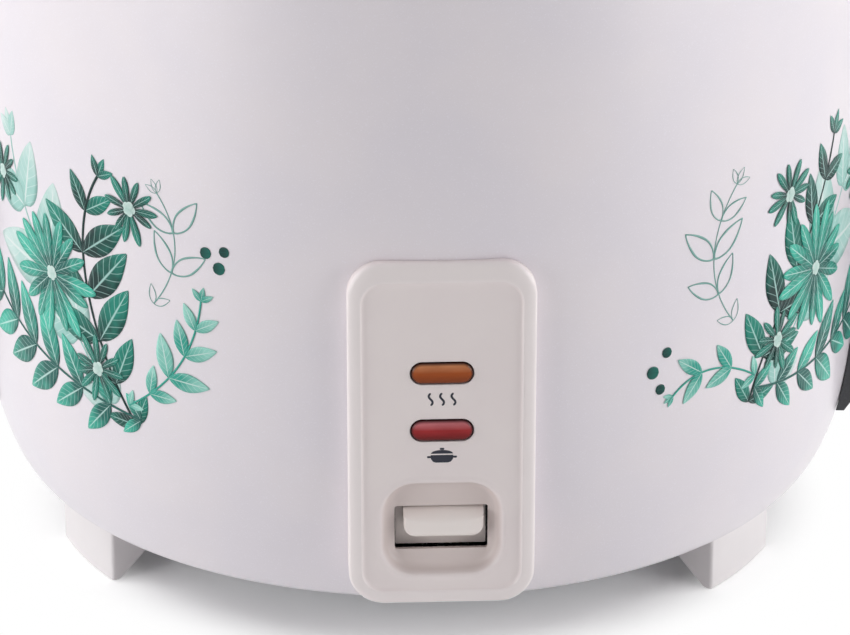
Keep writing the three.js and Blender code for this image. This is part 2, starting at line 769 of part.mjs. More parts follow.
function lensHole(z) {
  const section = {
    width: lensWidth + 2 * fitGap, height: lensHeight + 2 * fitGap, corner: lensHeight };
  return loftForward([
    { ...section, y: panelBackY + cutMargin }, { ...section, y: panelFrontY - cutMargin }], z);
}

function controlPanel() {
  return panelBody()
    .subtract(panelHollow())
    .subtract(drumSpace(seatGap))
    .add(dishFunnel(dishWall, dishFloorY + dishWall, panelBackY - panelFace / 2))
    .add(panelBoss(0, drumRadius - drumWall + bossRecess))
    .subtract(panelScrewHole())
    .subtract(dishFunnel(0, dishFloorY + dishWall + cutMargin, panelFrontY - cutMargin))
    .subtract(lensHole(warmLensZ))
    .subtract(lensHole(cookLensZ));
}

function panelScrew() {
  const headY = -drumRadius + drumWall + seatGap + facetDip;
  return screwUp(0, headY - panelScrewTipY).rotate(90, 0, 0).translate(0, headY, panelScrewZ);
}

// A lens with a flange behind the panel's face and a low dome in front of it.
function lens(z) {
  const section = (grow, y) => (
    { width: lensWidth + 2 * grow, height: lensHeight + 2 * grow, corner: lensHeight, y });
  const flangeY = panelBackY + seatGap;
  return loftForward([
    section(lensFlange, flangeY + lensFlangeWall), section(lensFlange, flangeY), section(0, flangeY),
    section(0, panelFaceY - lensDome * 0.2), section(-lensDome * 0.4, panelFaceY - lensDome * 0.6),
    section(-lensDome * 1.3, panelFaceY - lensDome)], z, 0, 4);
}

// ---------- Lamps behind the lenses ----------
function lampHolder() {
  const lowZ = cookLensZ - lensHeight / 2 - lampHolderBorder;
  const highZ = warmLensZ + lensHeight / 2 + lampHolderBorder;
  const backY = lampFrontY + lampHolderDepth;
  const halfWidth = lensWidth / 2 + lampHolderWall;
  const earReach = lensWidth / 2 + lampHolderEar;
  const block = box(-halfWidth, halfWidth, lampFrontY, backY, lowZ, highZ);
  const ears = box(-earReach, earReach, lampFrontY, lampFrontY + lampHolderEarWall,
    lowZ + lampHolderShoulder, highZ - lampHolderShoulder);
  const cavity = (z) => {
    const halfLength = lampLength / 2 + fitGap;
    const halfHeight = lampRadius + lampPlay;
    return box(-halfLength, halfLength, lampFrontY - cutMargin, backY + cutMargin,
      z - halfHeight, z + halfHeight);
  };
  return block.add(ears.intersect(drumSpace(-drumWall - seatGap)))
    .subtract(cavity(warmLensZ)).subtract(cavity(cookLensZ));
}

function lamp(z) {
  return barAlongX(lampRadius, lampMidY, z, lampLength);
}

// ---------- Mains inlet, in the back of the drum ----------
function inletSection(grow, y, corner = inletCorner) {
  return { width: inletMouthWidth + 2 * grow, height: inletMouthHeight + 2 * grow, corner, y };
}

function inletSleeve(grow) {
  const wall = inletWall + grow;
  return loftForward([
    inletSection(wall, inletFaceY + (grow > 0 ? cutMargin : -inletMargin)),
    inletSection(wall, inletFaceY - inletDepth - grow)], inletZ);
}

function inletHousing() {
  const flange = { width: inletWidth, height: inletHeight, corner: inletCorner };
  const face = {
    width: inletWidth - 2 * inletEdge, height: inletHeight - 2 * inletEdge, corner: inletCorner - inletEdge };
  const plate = loftForward([
    { ...face, y: inletFaceY }, { ...flange, y: inletFaceY - inletEdge },
    { ...flange, y: drumRadius - buriedDepth }], inletZ).subtract(drumSpace(seatGap));
  const recess = loftForward([
    inletSection(0, inletFaceY + cutMargin, inletMouthCorner),
    inletSection(0, inletFloorY, inletMouthCorner)], inletZ);
  const housing = plate.add(inletSleeve(0)).subtract(recess);
  return inletPins().reduce((rest, { x, z }) => rest.subtract(inletPin(x, z, fitGap)), housing);
}

function inletPins() {
  return [
    { name: 'inlet_pin_live', x: -inletPinSpacing, z: inletZ - inletPinRise },
    { name: 'inlet_pin_earth', x: 0, z: inletZ + inletPinRise },
    { name: 'inlet_pin_neutral', x: inletPinSpacing, z: inletZ - inletPinRise },
  ];
}

function inletPin(x, z, grow) {
  const halfWidth = inletPinWidth / 2 + grow;
  const halfHeight = inletPinHeight / 2 + grow;
  const tailY = inletFloorY - inletFloor - inletPinTail;
  return box(x - halfWidth, x + halfWidth, tailY, inletFloorY + inletPinLength,
    z - halfHeight, z + halfHeight);
}

// ---------- Liner, heating plate and pot ----------
function innerLiner() {
  const cornerX = linerInnerRadius - linerCornerRadius;
  const cornerZ = linerFloorZ + linerWall + linerCornerRadius;
  const flangeRadius = linerOuterRadius + linerFlangeWidth;
  const profile = new THREE.Shape().moveTo(linerHoleRadius, linerFloorZ + linerWall);
  profile.absarc(cornerX, cornerZ, linerCornerRadius, -Math.PI / 2, 0, false);
  profile.lineTo(linerInnerRadius, linerTopZ);
  profile.lineTo(flangeRadius, linerTopZ);
  profile.lineTo(flangeRadius, linerTopZ - linerWall);
  profile.lineTo(linerOuterRadius, linerTopZ - linerWall);
  profile.absarc(cornerX, cornerZ, linerCornerRadius + linerWall, 0, -Math.PI / 2, true);
  profile.lineTo(linerHoleRadius, linerFloorZ);
  const hole = (radius, angle) => {
    const [x, y] = atAngle(plateRingMiddle, angle);
    return disc(radius, linerFloorZ - cutMargin, linerFloorZ + linerWall + cutMargin).translate(x, y, 0);
  };
  const holes = postAngles.map((angle) => hole(postScrewRadius + fitGap, angle)).concat(
    terminalAngles.map((angle) => hole(terminalRadius + terminalHoleMargin, angle)));
  return holes.reduce((rest, cut) => rest.subtract(cut), revolve(profile, bigSegments, 2));
}

// The cast plate, with a thick ring round the buried heating element.
function heatingPlate() {
  const top = plateTopZ;
  const low = plateUndersideZ;
  const web = top - plateWebHeight;
  const edge = top - plateEdgeHeight;
  return revolve(outline([
    [plateHoleRadius, low], [linerHoleRadius, low], [linerHoleRadius + plateRingSlope, web],
    [plateRingInner, web], [plateRingInner + plateRingSlope, low],
    [plateRingOuter - plateRingSlope, low], [plateRingOuter, web],
    [plateRadius - plateEdge, edge], [plateRadius, edge + plateEdge],
    [plateRadius, top - plateEdge], [plateRadius - plateEdge, top],
    [plateHoleRadius + plateEdge, top], [plateHoleRadius, top - plateEdge]]), plateSegments);
}

// A stand-off above the liner's floor, with its nut below.
function platePost() {
  const nutTop = linerFloorZ - seatGap;
  const nutBottom = nutTop - postNutHeight;
  const end = nutBottom - postNutHeight;
  const foot = linerFloorZ + linerWall + seatGap;
  const top = plateUndersideZ - seatGap;
  return revolve(outline([
    [0, end], [postScrewRadius, end], [postScrewRadius, nutBottom], [postWidthRadius, nutBottom],
    [postWidthRadius, nutTop], [postScrewRadius, nutTop], [postScrewRadius, foot],
    [postWidthRadius, foot], [postWidthRadius, top], [0, top]]), smallSegments);
}

function heaterTerminal() {
  const top = plateUndersideZ - seatGap;
  const studEnd = top - terminalStud;
  const halfWidth = terminalBladeWidth / 2;
  const halfWall = terminalBladeWall / 2;
  return disc(terminalRadius, studEnd, top)
    .add(box(-halfWidth, halfWidth, -halfWall, halfWall, studEnd - terminalBlade, studEnd + cutMargin));
}

function innerPot() {
  const cornerX = potRadius - potCornerRadius;
  const cornerZ = potBottomZ + potCornerRadius;
  const inside = potRadius - potWall;
  const flangeRadius = potRadius + potFlangeWidth;
  const profile = new THREE.Shape().moveTo(0, potBottomZ);
  profile.absarc(cornerX, cornerZ, potCornerRadius, -Math.PI / 2, 0, false);
  profile.lineTo(potRadius, potTopZ - potWall);
  profile.lineTo(flangeRadius, potTopZ - potWall);
  profile.lineTo(flangeRadius, potTopZ);
  profile.lineTo(inside, potTopZ);
  profile.absarc(cornerX, cornerZ, potCornerRadius - potWall, 0, -Math.PI / 2, true);
  profile.lineTo(0, potBottomZ + potWall);
  return revolve(profile, bigSegments, 2);
}

// ---------- Sensor ----------
function sensorCap() {
  const top = plateTopZ;
  const low = top - sensorWall;
  const inside = sensorRadius - sensorWall;
  const stemInside = stemRadius - stemWall;
  return revolve(outline([
    [0, top], [sensorRadius - sensorEdge, top], [sensorRadius, top - sensorEdge],
    [sensorRadius, top - sensorSkirt], [inside, top - sensorSkirt], [inside, low],
    [stemRadius, low], [stemRadius, top - stemLength], [stemInside, top - stemLength],
    [stemInside, low], [0, low]]), midSegments);
}

function sensorGuide() {
  const top = plateUndersideZ - seatGap;
  const flange = guideRadius + guideFlangeWidth;
  const hole = stemRadius + fitGap;
  const inside = guideRadius - guideWall;
  return revolve(outline([
    [hole, guideFloorZ], [guideRadius, guideFloorZ], [guideRadius, top - guideWall],
    [flange, top - guideWall], [flange, top], [inside, top], [inside, guideFloorZ + guideWall],
    [hole, guideFloorZ + guideWall]]), midSegments);
}

function ferriteDisc() {
  return disc(stemRadius - stemWall - fitGap, ferriteBottomZ, ferriteTopZ, midSegments);
}

function sensorSpring() {
  const middle = (stemRadius + sensorRadius - sensorWall) / 2;
  const lowZ = guideFloorZ + guideWall + seatGap;
  const highZ = plateTopZ - sensorWall - seatGap;
  return spring(middle, sensorSpringWire, lowZ, highZ, sensorSpringTurns);
}

// ---------- Magnet and its rod ----------
function magnet() {
  return disc(stemRadius - stemWall - magnetFit, magnetTopZ - magnetHeight, magnetTopZ, midSegments);
}

// The rod with two collars, one above and one below the lever's fork.
function magnetRod() {
  const top = magnetTopZ - magnetHeight - seatGap;
  const upper = armZ + armThickness + collarPlay;
  const lower = armZ - collarPlay;
  const end = lower - collarHeight - rodTail;
  return revolve(outline([
    [0, end], [rodRadius, end], [rodRadius, lower - collarHeight],
    [collarRadius, lower - collarHeight], [collarRadius, lower], [rodRadius, lower],
    [rodRadius, upper], [collarRadius, upper], [collarRadius, upper + collarHeight],
    [rodRadius, upper + collarHeight], [rodRadius, top], [0, top]]), smallSegments);
}

function releaseSpring() {
  const lowZ = magnetTopZ + seatGap;
  return spring(releaseSpringRadius, releaseSpringWire, lowZ, ferriteBottomZ - seatGap, releaseSpringTurns);
}

// ---------- Cook lever ----------
// The tab that a finger presses, on the skirt that hides the slot's inside.
function leverTab() {
  const frontY = dishFloorY - tabStand;
  const section = (inset, slope, y) => ({
    width: tabWidth - 2 * inset, height: tabHeight - slope - 2 * inset,
    corner: tabCorner - inset / 2, lift: -slope / 2, y });
  const tab = loftForward([
    section(0, 0, skirtY + skirtWall / 2), section(0, 0, dishFloorY),
    section(0, tabSlope * 0.6, frontY + tabCorner / 2),
    section(tabCorner * 0.15, tabSlope * 0.85, frontY + tabCorner / 7),
    section(tabCorner * 0.5, tabSlope, frontY)], tabZ, tabSideways);
  const skirt = {
    width: slotWidth + 2 * skirtOverlap, height: slotHeight + skirtHead + skirtFoot,
    corner: skirtWall, lift: (skirtHead - skirtFoot) / 2 };
  return tab.add(loftForward([{ ...skirt, y: skirtY + skirtWall }, { ...skirt, y: skirtY }], slotZ, 0, 3));
}

function leverArm() {
  const frontY = skirtY + skirtWall + seatGap;
  const toeY = frontY + armThickness;
  const low = armZ;
  const high = armZ + armThickness;
  const strip = extrudeAcross(outline([
    [frontY, low - armToe], [toeY, low - armToe], [toeY, low], [forkEnd, low], [forkEnd, high],
    [toeY, high], [toeY, high + armToe], [frontY, high + armToe]]), armWidth);
  const half = earLength / 2;
  const root = low + armThickness / 2;
  const ear = outline([
    [pivotY - half, root], [pivotY - half + earTaper, high - earHeight],
    [pivotY + half - earTaper, high - earHeight], [pivotY + half, root]]);
  const earX = armWidth / 2 - earThickness / 2;
  const forkX = rodRadius + forkPlay;
  const fork = box(-forkX, forkX, -forkX, forkEnd + cutMargin, low - cutMargin, high + cutMargin);
  const hole = barAlongX(pinRadius + fitGap, pivotY, pivotZ, armWidth + 2 * cutMargin);
  return strip.add(extrudeAcross(ear, earThickness, earX)).add(extrudeAcross(ear, earThickness, -earX))
    .subtract(fork).subtract(hole);
}

// A folded bracket under the liner's floor, with a cheek each side of the lever.
function leverBracket() {
  const inner = armWidth / 2 + bracketPlay;
  const outer = inner + bracketWall;
  const top = linerFloorZ - seatGap;
  const half = bracketLength / 2;
  const footZ = pivotZ - bracketFoot;
  const cheek = outline([
    [pivotY - half, top], [pivotY - bracketFoot, footZ], [pivotY + bracketFoot, footZ],
    [pivotY + half, top]]);
  const cheekX = (inner + outer) / 2;
  const flange = outer + bracketFlange;
  const plate = box(-flange, flange, pivotY - half, pivotY + half, top - bracketWall, top);
  return plate.add(extrudeAcross(cheek, bracketWall, cheekX)).add(extrudeAcross(cheek, bracketWall, -cheekX))
    .subtract(barAlongX(pinRadius + fitGap, pivotY, pivotZ, 2 * (outer + cutMargin)));
}

function leverPin() {
  return barAlongX(pinRadius, pivotY, pivotZ, armWidth + 2 * (bracketPlay + bracketWall + pinOverhang));
}

// ---------- Switch and fuse, hung under the liner's floor ----------
function switchBlock() {
  const half = switchLength / 2;
  return box(switchX, switchX + switchWidth, switchY - half, switchY + half,
    leafZ - switchFoot, linerFloorZ - seatGap);
}

function contactLeaf(z) {
  const half = leafWidth / 2;
  return box(-leafOverlap, switchX - seatGap, switchY - half, switchY + half, z, z + leafThickness);
}

function thermalFuse() {
  return barAlongX(fuseRadius, fuseReach, linerFloorZ - seatGap - fuseRadius, fuseLength);
}

// ---------- Lid ----------
function glassZ(radius) {
  return glassTopZ - domeRadius + Math.sqrt(domeRadius ** 2 - radius ** 2);
}

function lidDome() {
  const centreZ = glassTopZ - domeRadius;
  const start = Math.acos(lidRadius / domeRadius);
  const end = Math.acos(lidRadius / innerDomeRadius);
  const profile = new THREE.Shape().absarc(0, centreZ, domeRadius, start, Math.PI / 2, false);
  profile.lineTo(0, centreZ + innerDomeRadius);
  profile.absarc(0, centreZ, innerDomeRadius, Math.PI / 2, end, true);
  const hole = (radius, z) => disc(radius + fitGap, z - 2 * lidGlass, z + lidGlass);
  return revolve(profile, bigSegments, 2)
    .subtract(hole(knobScrewRadius, glassTopZ))
    .subtract(hole(steamHoleRadius, glassZ(steamVentRadius)).translate(steamVentRadius, 0, 0));
}

function lidRim() {
  const outer = lidRadius + seatGap + lidRimWall;
  const inner = outer - lidRimWidth;
  const lip = lidBaseZ + lidRimHeight + lidRimWall;
  const top = lidBaseZ + lidRimWall;
  return revolve(outline([
    [inner, lidBaseZ], [outer, lidBaseZ], [outer, lip], [outer - lidRimWall, lip],
    [outer - lidRimWall, top], [inner, top]]), bigSegments);
}

function lidWasher() {
  const base = glassTopZ + seatGap;
  return disc(knobStemRadius + washerOverlap, base, base + washerHeight, midSegments,
    knobScrewRadius + fitGap);
}

function lidKnob() {
  const base = glassTopZ + 2 * seatGap + washerHeight;
  const top = base + knobHeight;
  const bore = knobScrewRadius + fitGap;
  const profile = new THREE.Shape().moveTo(bore, base);
  profile.lineTo(knobStemRadius + knobFoot, base);
  profile.quadraticCurveTo(
    knobStemRadius - knobFoot / 2, base + knobHeight * 0.4, knobRadius - 1, top - knobEdge);
  profile.quadraticCurveTo(
    knobRadius + 1, top - 2 * knobCrown, knobRadius - knobCrown / 2, top - knobCrown);
  profile.quadraticCurveTo(knobRadius * 0.6, top, 0, top);
  profile.lineTo(0, base + knobBore);
  profile.lineTo(bore, base + knobBore);
  return revolve(profile, midSegments, 3);
}

function knobScrew() {
  const headZ = glassTopZ - lidGlass - seatGap - facetDip;
  const tipZ = headZ + lidGlass + washerHeight + knobScrewGrip;
  const lowZ = headZ - knobScrewRadius;
  return revolve(outline([
    [0, lowZ], [knobScrewHead - 1, lowZ], [knobScrewHead, headZ - knobScrewRadius / 3],
    [knobScrewHead, headZ], [knobScrewRadius, headZ], [knobScrewRadius, tipZ], [0, tipZ]]),
  smallSegments);
}

function steamGrommet() {
  const surface = glassZ(steamVentRadius);
  const inner = steamHoleRadius - grommetWall;
  const outer = steamHoleRadius + grommetLip;
  const lowZ = surface - lidGlass - grommetTail;
  const lipZ = surface + grommetStand;
  return revolve(outline([
    [inner, lowZ], [steamHoleRadius, lowZ], [steamHoleRadius, lipZ], [outer, lipZ],
    [outer, lipZ + grommetWall], [inner, lipZ + grommetWall]]), smallSegments)
    .translate(steamVentRadius, 0, 0);
}

// ---------- Assembly ----------
const cooker = new THREE.Group();

function add(name, solid, finish, parent = cooker) {
  const material = new THREE.MeshStandardMaterial(finishes[finish]);
  const mesh = new THREE.Mesh(toGeometry(solid), material);
  mesh.name = name;
  parent.add(mesh);
  return mesh;
}

// A group whose +X points away from the axis at this angle from the front.
function turned(degrees) {
  const group = new THREE.Group();
  group.rotation.z = THREE.MathUtils.degToRad(degrees - 90);
  cooker.add(group);
  return group;
}

function onPlateRing(solid, angle) {
  const [x, y] = atAngle(plateRingMiddle, angle);
  return solid.translate(x, y, 0);
}

add('outer_shell', outerShell(), 'pearl_paint');
add('bottom_plate', bottomPlate(), 'steel');
add('inner_liner', innerLiner(), 'aluminium');

for (const [place, angle] of Object.entries(legAngles)) {
  const group = turned(angle + bracketTurn);
  add(`leg_${place}`, leg(), 'white_plastic', group);
  add(`leg_screw_${place}`, legScrew(), 'steel', group);
}

for (const [side, angle] of [['right', 90], ['left', -90]]) {
  const group = turned(angle + bracketTurn);
  add(`handle_${side}`, handle(), 'black_plastic', group);
  add(`handle_screw_${side}_lower`, handleScrew(handleScrewZ[0]), 'steel', group);
  add(`handle_screw_${side}_upper`, handleScrew(handleScrewZ[1]), 'steel', group);
}

add('control_panel', controlPanel(), 'white_plastic');
add('panel_screw', panelScrew(), 'steel');
add('warm_lens', lens(warmLensZ), 'amber_lens');
add('cook_lens', lens(cookLensZ), 'red_lens');
add('lamp_holder', lampHolder(), 'white_plastic');
add('warm_lamp', lamp(warmLensZ), 'clear_glass');
add('cook_lamp', lamp(cookLensZ), 'clear_glass');

add('inlet_housing', inletHousing(), 'black_plastic');
for (const { name, x, z } of inletPins()) add(name, inletPin(x, z, 0), 'brass');

add('heating_plate', heatingPlate(), 'aluminium');
postAngles.forEach((angle, i) => {
  add(`plate_post_${i + 1}`, onPlateRing(platePost(), angle), 'steel');
});
terminalAngles.forEach((angle, i) => {
  add(`heater_terminal_${i + 1}`, onPlateRing(heaterTerminal(), angle), 'brass');
});

add('sensor_guide', sensorGuide(), 'steel');
add('sensor_spring', sensorSpring(), 'steel');
add('sensor_cap', sensorCap(), 'aluminium');
add('ferrite_disc', ferriteDisc(), 'ferrite');
add('release_spring', releaseSpring(), 'steel');
add('magnet', magnet(), 'ferrite');
add('magnet_rod', magnetRod(), 'steel');

add('lever_bracket', leverBracket(), 'steel');
add('lever_pin', leverPin(), 'steel');
add('lever_arm', leverArm(), 'steel');
add('lever_tab', leverTab(), 'white_plastic');
add('switch_block', switchBlock(), 'phenolic');
add('contact_leaf_lower', contactLeaf(leafZ), 'brass');
add('contact_leaf_upper', contactLeaf(leafZ + leafSpacing), 'brass');
add('thermal_fuse', thermalFuse(), 'phenolic');

add('inner_pot', innerPot(), 'aluminium');
add('lid_glass', lidDome(), 'clear_glass');
add('lid_rim', lidRim(), 'steel');
add('lid_washer', lidWasher(), 'silicone');
add('lid_knob', lidKnob(), 'black_plastic');
add('knob_screw', knobScrew(), 'steel');
add('vent_grommet', steamGrommet(), 'silicone');

export default cooker;
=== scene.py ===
import json
import math

import bmesh
import bpy
from mathutils import Matrix, Vector

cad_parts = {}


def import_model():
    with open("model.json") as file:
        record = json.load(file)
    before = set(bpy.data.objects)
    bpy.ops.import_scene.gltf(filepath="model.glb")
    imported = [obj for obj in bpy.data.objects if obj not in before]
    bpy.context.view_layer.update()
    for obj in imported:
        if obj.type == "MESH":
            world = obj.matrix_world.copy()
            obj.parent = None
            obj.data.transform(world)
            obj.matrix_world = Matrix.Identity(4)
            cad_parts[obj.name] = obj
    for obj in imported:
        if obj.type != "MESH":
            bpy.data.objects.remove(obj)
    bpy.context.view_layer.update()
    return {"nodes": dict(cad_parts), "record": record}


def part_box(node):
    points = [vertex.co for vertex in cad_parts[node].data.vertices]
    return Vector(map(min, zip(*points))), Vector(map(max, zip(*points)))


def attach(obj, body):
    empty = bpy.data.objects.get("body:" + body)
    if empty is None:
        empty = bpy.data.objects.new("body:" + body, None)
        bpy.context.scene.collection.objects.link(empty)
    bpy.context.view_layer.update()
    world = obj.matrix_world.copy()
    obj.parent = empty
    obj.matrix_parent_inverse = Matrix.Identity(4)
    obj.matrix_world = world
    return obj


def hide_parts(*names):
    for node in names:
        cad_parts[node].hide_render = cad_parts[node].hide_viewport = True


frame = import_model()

MM = 0.001


def node_box(node):
    """Lowest and highest corner of a CAD node, in millimetres."""
    low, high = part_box(node)
    return Vector(low) / MM, Vector(high) / MM


# ---------- Sizes ----------
SHELL_LOW, SHELL_HIGH = node_box("outer_shell")
DRUM_RADIUS = SHELL_HIGH.x
BASE_Z, TOP_Z = SHELL_LOW.z, SHELL_HIGH.z
CURVE_HEIGHT, CURVE_INSET = 65.0, 18.0  # the drum's lower curve
SEAT = 0.15  # how far a dressed piece stands off the drum that carries it
BRACKET_TURN = -4.55  # how far the legs and handles are turned from the panel's axis, in degrees

PANEL_LOW, PANEL_HIGH = node_box("control_panel")
FRONT_Y = PANEL_LOW.y
FACE_Y = FRONT_Y + 1.0
PANEL_WIDTH = PANEL_HIGH.x - PANEL_LOW.x
PANEL_HEIGHT = PANEL_HIGH.z - PANEL_LOW.z
PANEL_MID_Z = (PANEL_HIGH.z + PANEL_LOW.z) / 2
PANEL_CORNER, TOP_TRIM = 10.2, 1.1
LENS_Z = {name: sum(corner.z for corner in node_box(name)) / 2 for name in ("warm_lens", "cook_lens")}
LENS_WIDTH, LENS_HEIGHT, LENS_GAP = 17.4, 6.3, 0.3
DISH_Z = PANEL_MID_Z - 29.5
DISH_WIDTH, DISH_HEIGHT, DISH_CORNER, DISH_DEPTH = 35.0, 29.6, 10.0, 3.4
SLOT_Z = PANEL_MID_Z - 30.7
SLOT_WIDTH, SLOT_HEIGHT = 26.5, 13.6

INLET_LOW, INLET_HIGH = node_box("inlet_housing")
INLET_Z = (INLET_LOW.z + INLET_HIGH.z) / 2
LEG_RADIUS, LEG_HALF_ANGLE, LEG_HEIGHT = 116.4, 9.0, 19.7
HANDLE_REACH, HANDLE_HALF_WIDTH = DRUM_RADIUS + 30, 32.5
LID_RADIUS = node_box("lid_glass")[1].x
LID_RISE, LID_GLASS = 27.0, 4.0
DOME_RADIUS = (LID_RADIUS ** 2 + LID_RISE ** 2) / (2 * LID_RISE)

INK_LIFT, LAYER_LIFT, COPY_LIFT = 0.02, 0.04, 0.035  # how far the print stands off the drum
GOLDEN_SHARE = 0.618  # keeps the heights of neighbouring copies apart

FLOOR_BOUNCE, FLOOR_SHOWN = 0.8, 1.4
SHADOW_REACH, PAPER_START = 0.1, 0.13  # in metres from the axis
ROOM_LIGHT = 0.05
LAMP_DISTANCE, LAMP_AIM = 1.25, Vector((0, 0, 0.1))  # in metres


# ---------- Outlines ----------
def arc(cx, cy, radius_x, radius_y, start, end, steps):
    """Points on an elliptical arc, with its angles in degrees."""
    points = []
    for i in range(steps + 1):
        angle = math.radians(start + (end - start) * i / steps)
        points.append((cx + radius_x * math.cos(angle), cy + radius_y * math.sin(angle)))
    return points


def rounded(corners, steps=5):
    """A closed outline of (x, y, radius) corners, each turned into an arc."""
    points = []
    for i, (x, y, radius) in enumerate(corners):
        if radius <= 0:
            points.append((x, y))
            continue
        here = Vector((x, y))
        to_last = (Vector(corners[i - 1][:2]) - here).normalized()
        to_next = (Vector(corners[(i + 1) % len(corners)][:2]) - here).normalized()
        half = to_last.angle(to_next) / 2
        centre = here + (to_last + to_next).normalized() * radius / math.sin(half)
        first = here + to_last * radius / math.tan(half) - centre
        last = here + to_next * radius / math.tan(half) - centre
        turn = first.angle_signed(last)
        for k in range(steps + 1):
            angle = math.atan2(first.y, first.x) - turn * k / steps
            points.append((centre.x + radius * math.cos(angle), centre.y + radius * math.sin(angle)))
    return points


def rect_loop(width, height, corner, per_corner=10, per_side=6):
    """A rounded rectangle about the origin, anticlockwise, always with the same count of points."""
    corner = min(corner, width / 2 - 0.01, height / 2 - 0.01)
    x, y = width / 2 - corner, height / 2 - corner
    corners = [arc(*centre, corner, corner, 90 * quarter, 90 * quarter + 90, per_corner)
               for quarter, centre in enumerate(((x, y), (-x, y), (-x, -y), (x, -y)))]
    points = []
    for first, second in zip(corners, corners[1:] + corners[:1]):
        start, end = Vector(first[-1]), Vector(second[0])
        points += first + [tuple(start.lerp(end, k / per_side)) for k in range(1, per_side)]
    return points


def stadium(width, height):
    return rect_loop(width, height, height / 2)


def bezier(start, a, b, end, steps):
    points = []
    for k in range(steps + 1):
        t = k / steps
        weights = ((1 - t) ** 3, 3 * t * (1 - t) ** 2, 3 * t * t * (1 - t), t ** 3)
        points.append(tuple(sum(w * p[i] for w, p in zip(weights, (start, a, b, end))) for i in (0, 1)))
    return points


def facing(loop, y, x=0.0, z=0.0):
    """A flat loop stood up across Y."""
    return [(px + x, y, pz + z) for px, pz in loop]


# ---------- Meshes ----------
def new_object(name, bm):
    """An object made of the bmesh, which is used up. It isn't in the scene yet."""
    mesh = bpy.data.meshes.new(name)
    bm.to_mesh(mesh)
    bm.free()
    return bpy.data.objects.new(name, mesh)


def placed(item):
    bpy.context.scene.collection.objects.link(item)
    return item


def smoothed(piece, angle):
    """Smooth shading, except at edges sharper than the angle."""
    piece.data.shade_smooth()
    piece.data.set_sharp_from_angle(angle=math.radians(angle))
    return piece


def new_piece(name, bm, smooth_angle=35, closed=True):
    """A piece in the scene from a bmesh in millimetres. A closed one gets its normals turned outwards."""
    if closed:
        bmesh.ops.recalc_face_normals(bm, faces=bm.faces)
    bmesh.ops.scale(bm, vec=(MM, MM, MM), verts=bm.verts)
    return placed(smoothed(new_object(name, bm), smooth_angle))


def bake(piece):
    """Turns the piece's modifiers into its mesh."""
    depsgraph = bpy.context.evaluated_depsgraph_get()
    mesh = bpy.data.meshes.new_from_object(piece.evaluated_get(depsgraph))
    piece.modifiers.clear()
    piece.data = mesh
    return piece


def bridge(bm, loop_a, loop_b):
    """Faces between two loops of vertices, where either may be a single vertex."""
    count = max(len(loop_a), len(loop_b))
    for i in range(count):
        j = (i + 1) % count
        ring = [loop[k % len(loop)] for loop, k in ((loop_a, i), (loop_a, j), (loop_b, j), (loop_b, i))]
        corners = list(dict.fromkeys(ring))
        if len(corners) > 2:
            bm.faces.new(corners)


def circle_at(radius, z, segments):
    angles = [2 * math.pi * k / segments for k in range(segments)]
    return [(radius * math.cos(a), radius * math.sin(a), z) for a in angles]


def lathe(name, profile, segments=160, smooth_angle=35):
    """A closed body turned round Z from (radius, height) points."""
    bm = bmesh.new()
    rings = []
    for radius, z in profile:
        points = circle_at(radius, z, segments) if radius > 1e-6 else [(0, 0, z)]
        rings.append([bm.verts.new(point) for point in points])
    for i, ring in enumerate(rings):
        if len(ring) + len(rings[i - 1]) > 2:
            bridge(bm, rings[i - 1], ring)
    return new_piece(name, bm, smooth_angle)


def loft(bm, loops, caps=False):
    """Joins loops of (x, y, z) points, with faces over both ends if asked, and returns their vertices."""
    rings = [[bm.verts.new(point) for point in loop] for loop in loops]
    for first, second in zip(rings, rings[1:]):
        bridge(bm, first, second)
    if caps:
        bm.faces.new(rings[0])
        bm.faces.new(rings[-1])
    return rings


def lofted(name, *bodies, smooth_angle=35):
    """One piece of closed bodies, each made of its loops."""
    bm = bmesh.new()
    for loops in bodies:
        loft(bm, loops, caps=True)
    return new_piece(name, bm, smooth_angle)


def mark_rings(layer, marked):
    """Stores a value on every vertex of each ring. The layer has to be older than the vertices."""
    for ring, value in marked:
        for vertex in ring:
            vertex[layer] = value


def map_faces(bm, layer, place):
    """Fills a map with the place that each vertex has on it."""
    for corner in (corner for face in bm.faces for corner in face.loops):
        corner[layer].uv = place(corner.vert)


def walled(piece, thickness):
    """Gives an open skin its wall, inwards."""
    wall = piece.modifiers.new("wall", "SOLIDIFY")
    wall.thickness = thickness * MM
    wall.offset = -1
    return bake(piece)


def cut(piece, tool, operation="DIFFERENCE"):
    """Cuts the piece with the tool, which is used up."""
    modifier = piece.modifiers.new("cut", "BOOLEAN")
    modifier.operation = operation
    modifier.solver = "EXACT"
    modifier.object = tool
    bake(piece)
    bpy.data.objects.remove(tool)


def soften(piece, width, segments=3):
    """Rounds the piece's sharp edges."""
    bevel = piece.modifiers.new("edges", "BEVEL")
    bevel.width = width * MM
    bevel.segments = segments
    bevel.limit_method = "ANGLE"
    bevel.angle_limit = math.radians(35)
    smoothed(bake(piece), 40)


def turned(piece, degrees):
    """Turns the piece's mesh round Z."""
    piece.data.transform(Matrix.Rotation(math.radians(degrees), 4, "Z"))
    return piece


def dress(piece, body, slot, *nodes, finish=None):
    """Gives a piece its body and its finish, or its slot's material when it has no finish, and hides the CAD
    nodes that it stands for.
    """
    piece.data.materials.clear()
    piece.data.materials.append(MATERIALS[finish or slot])
    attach(piece, body)
    if nodes:
        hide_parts(*nodes)


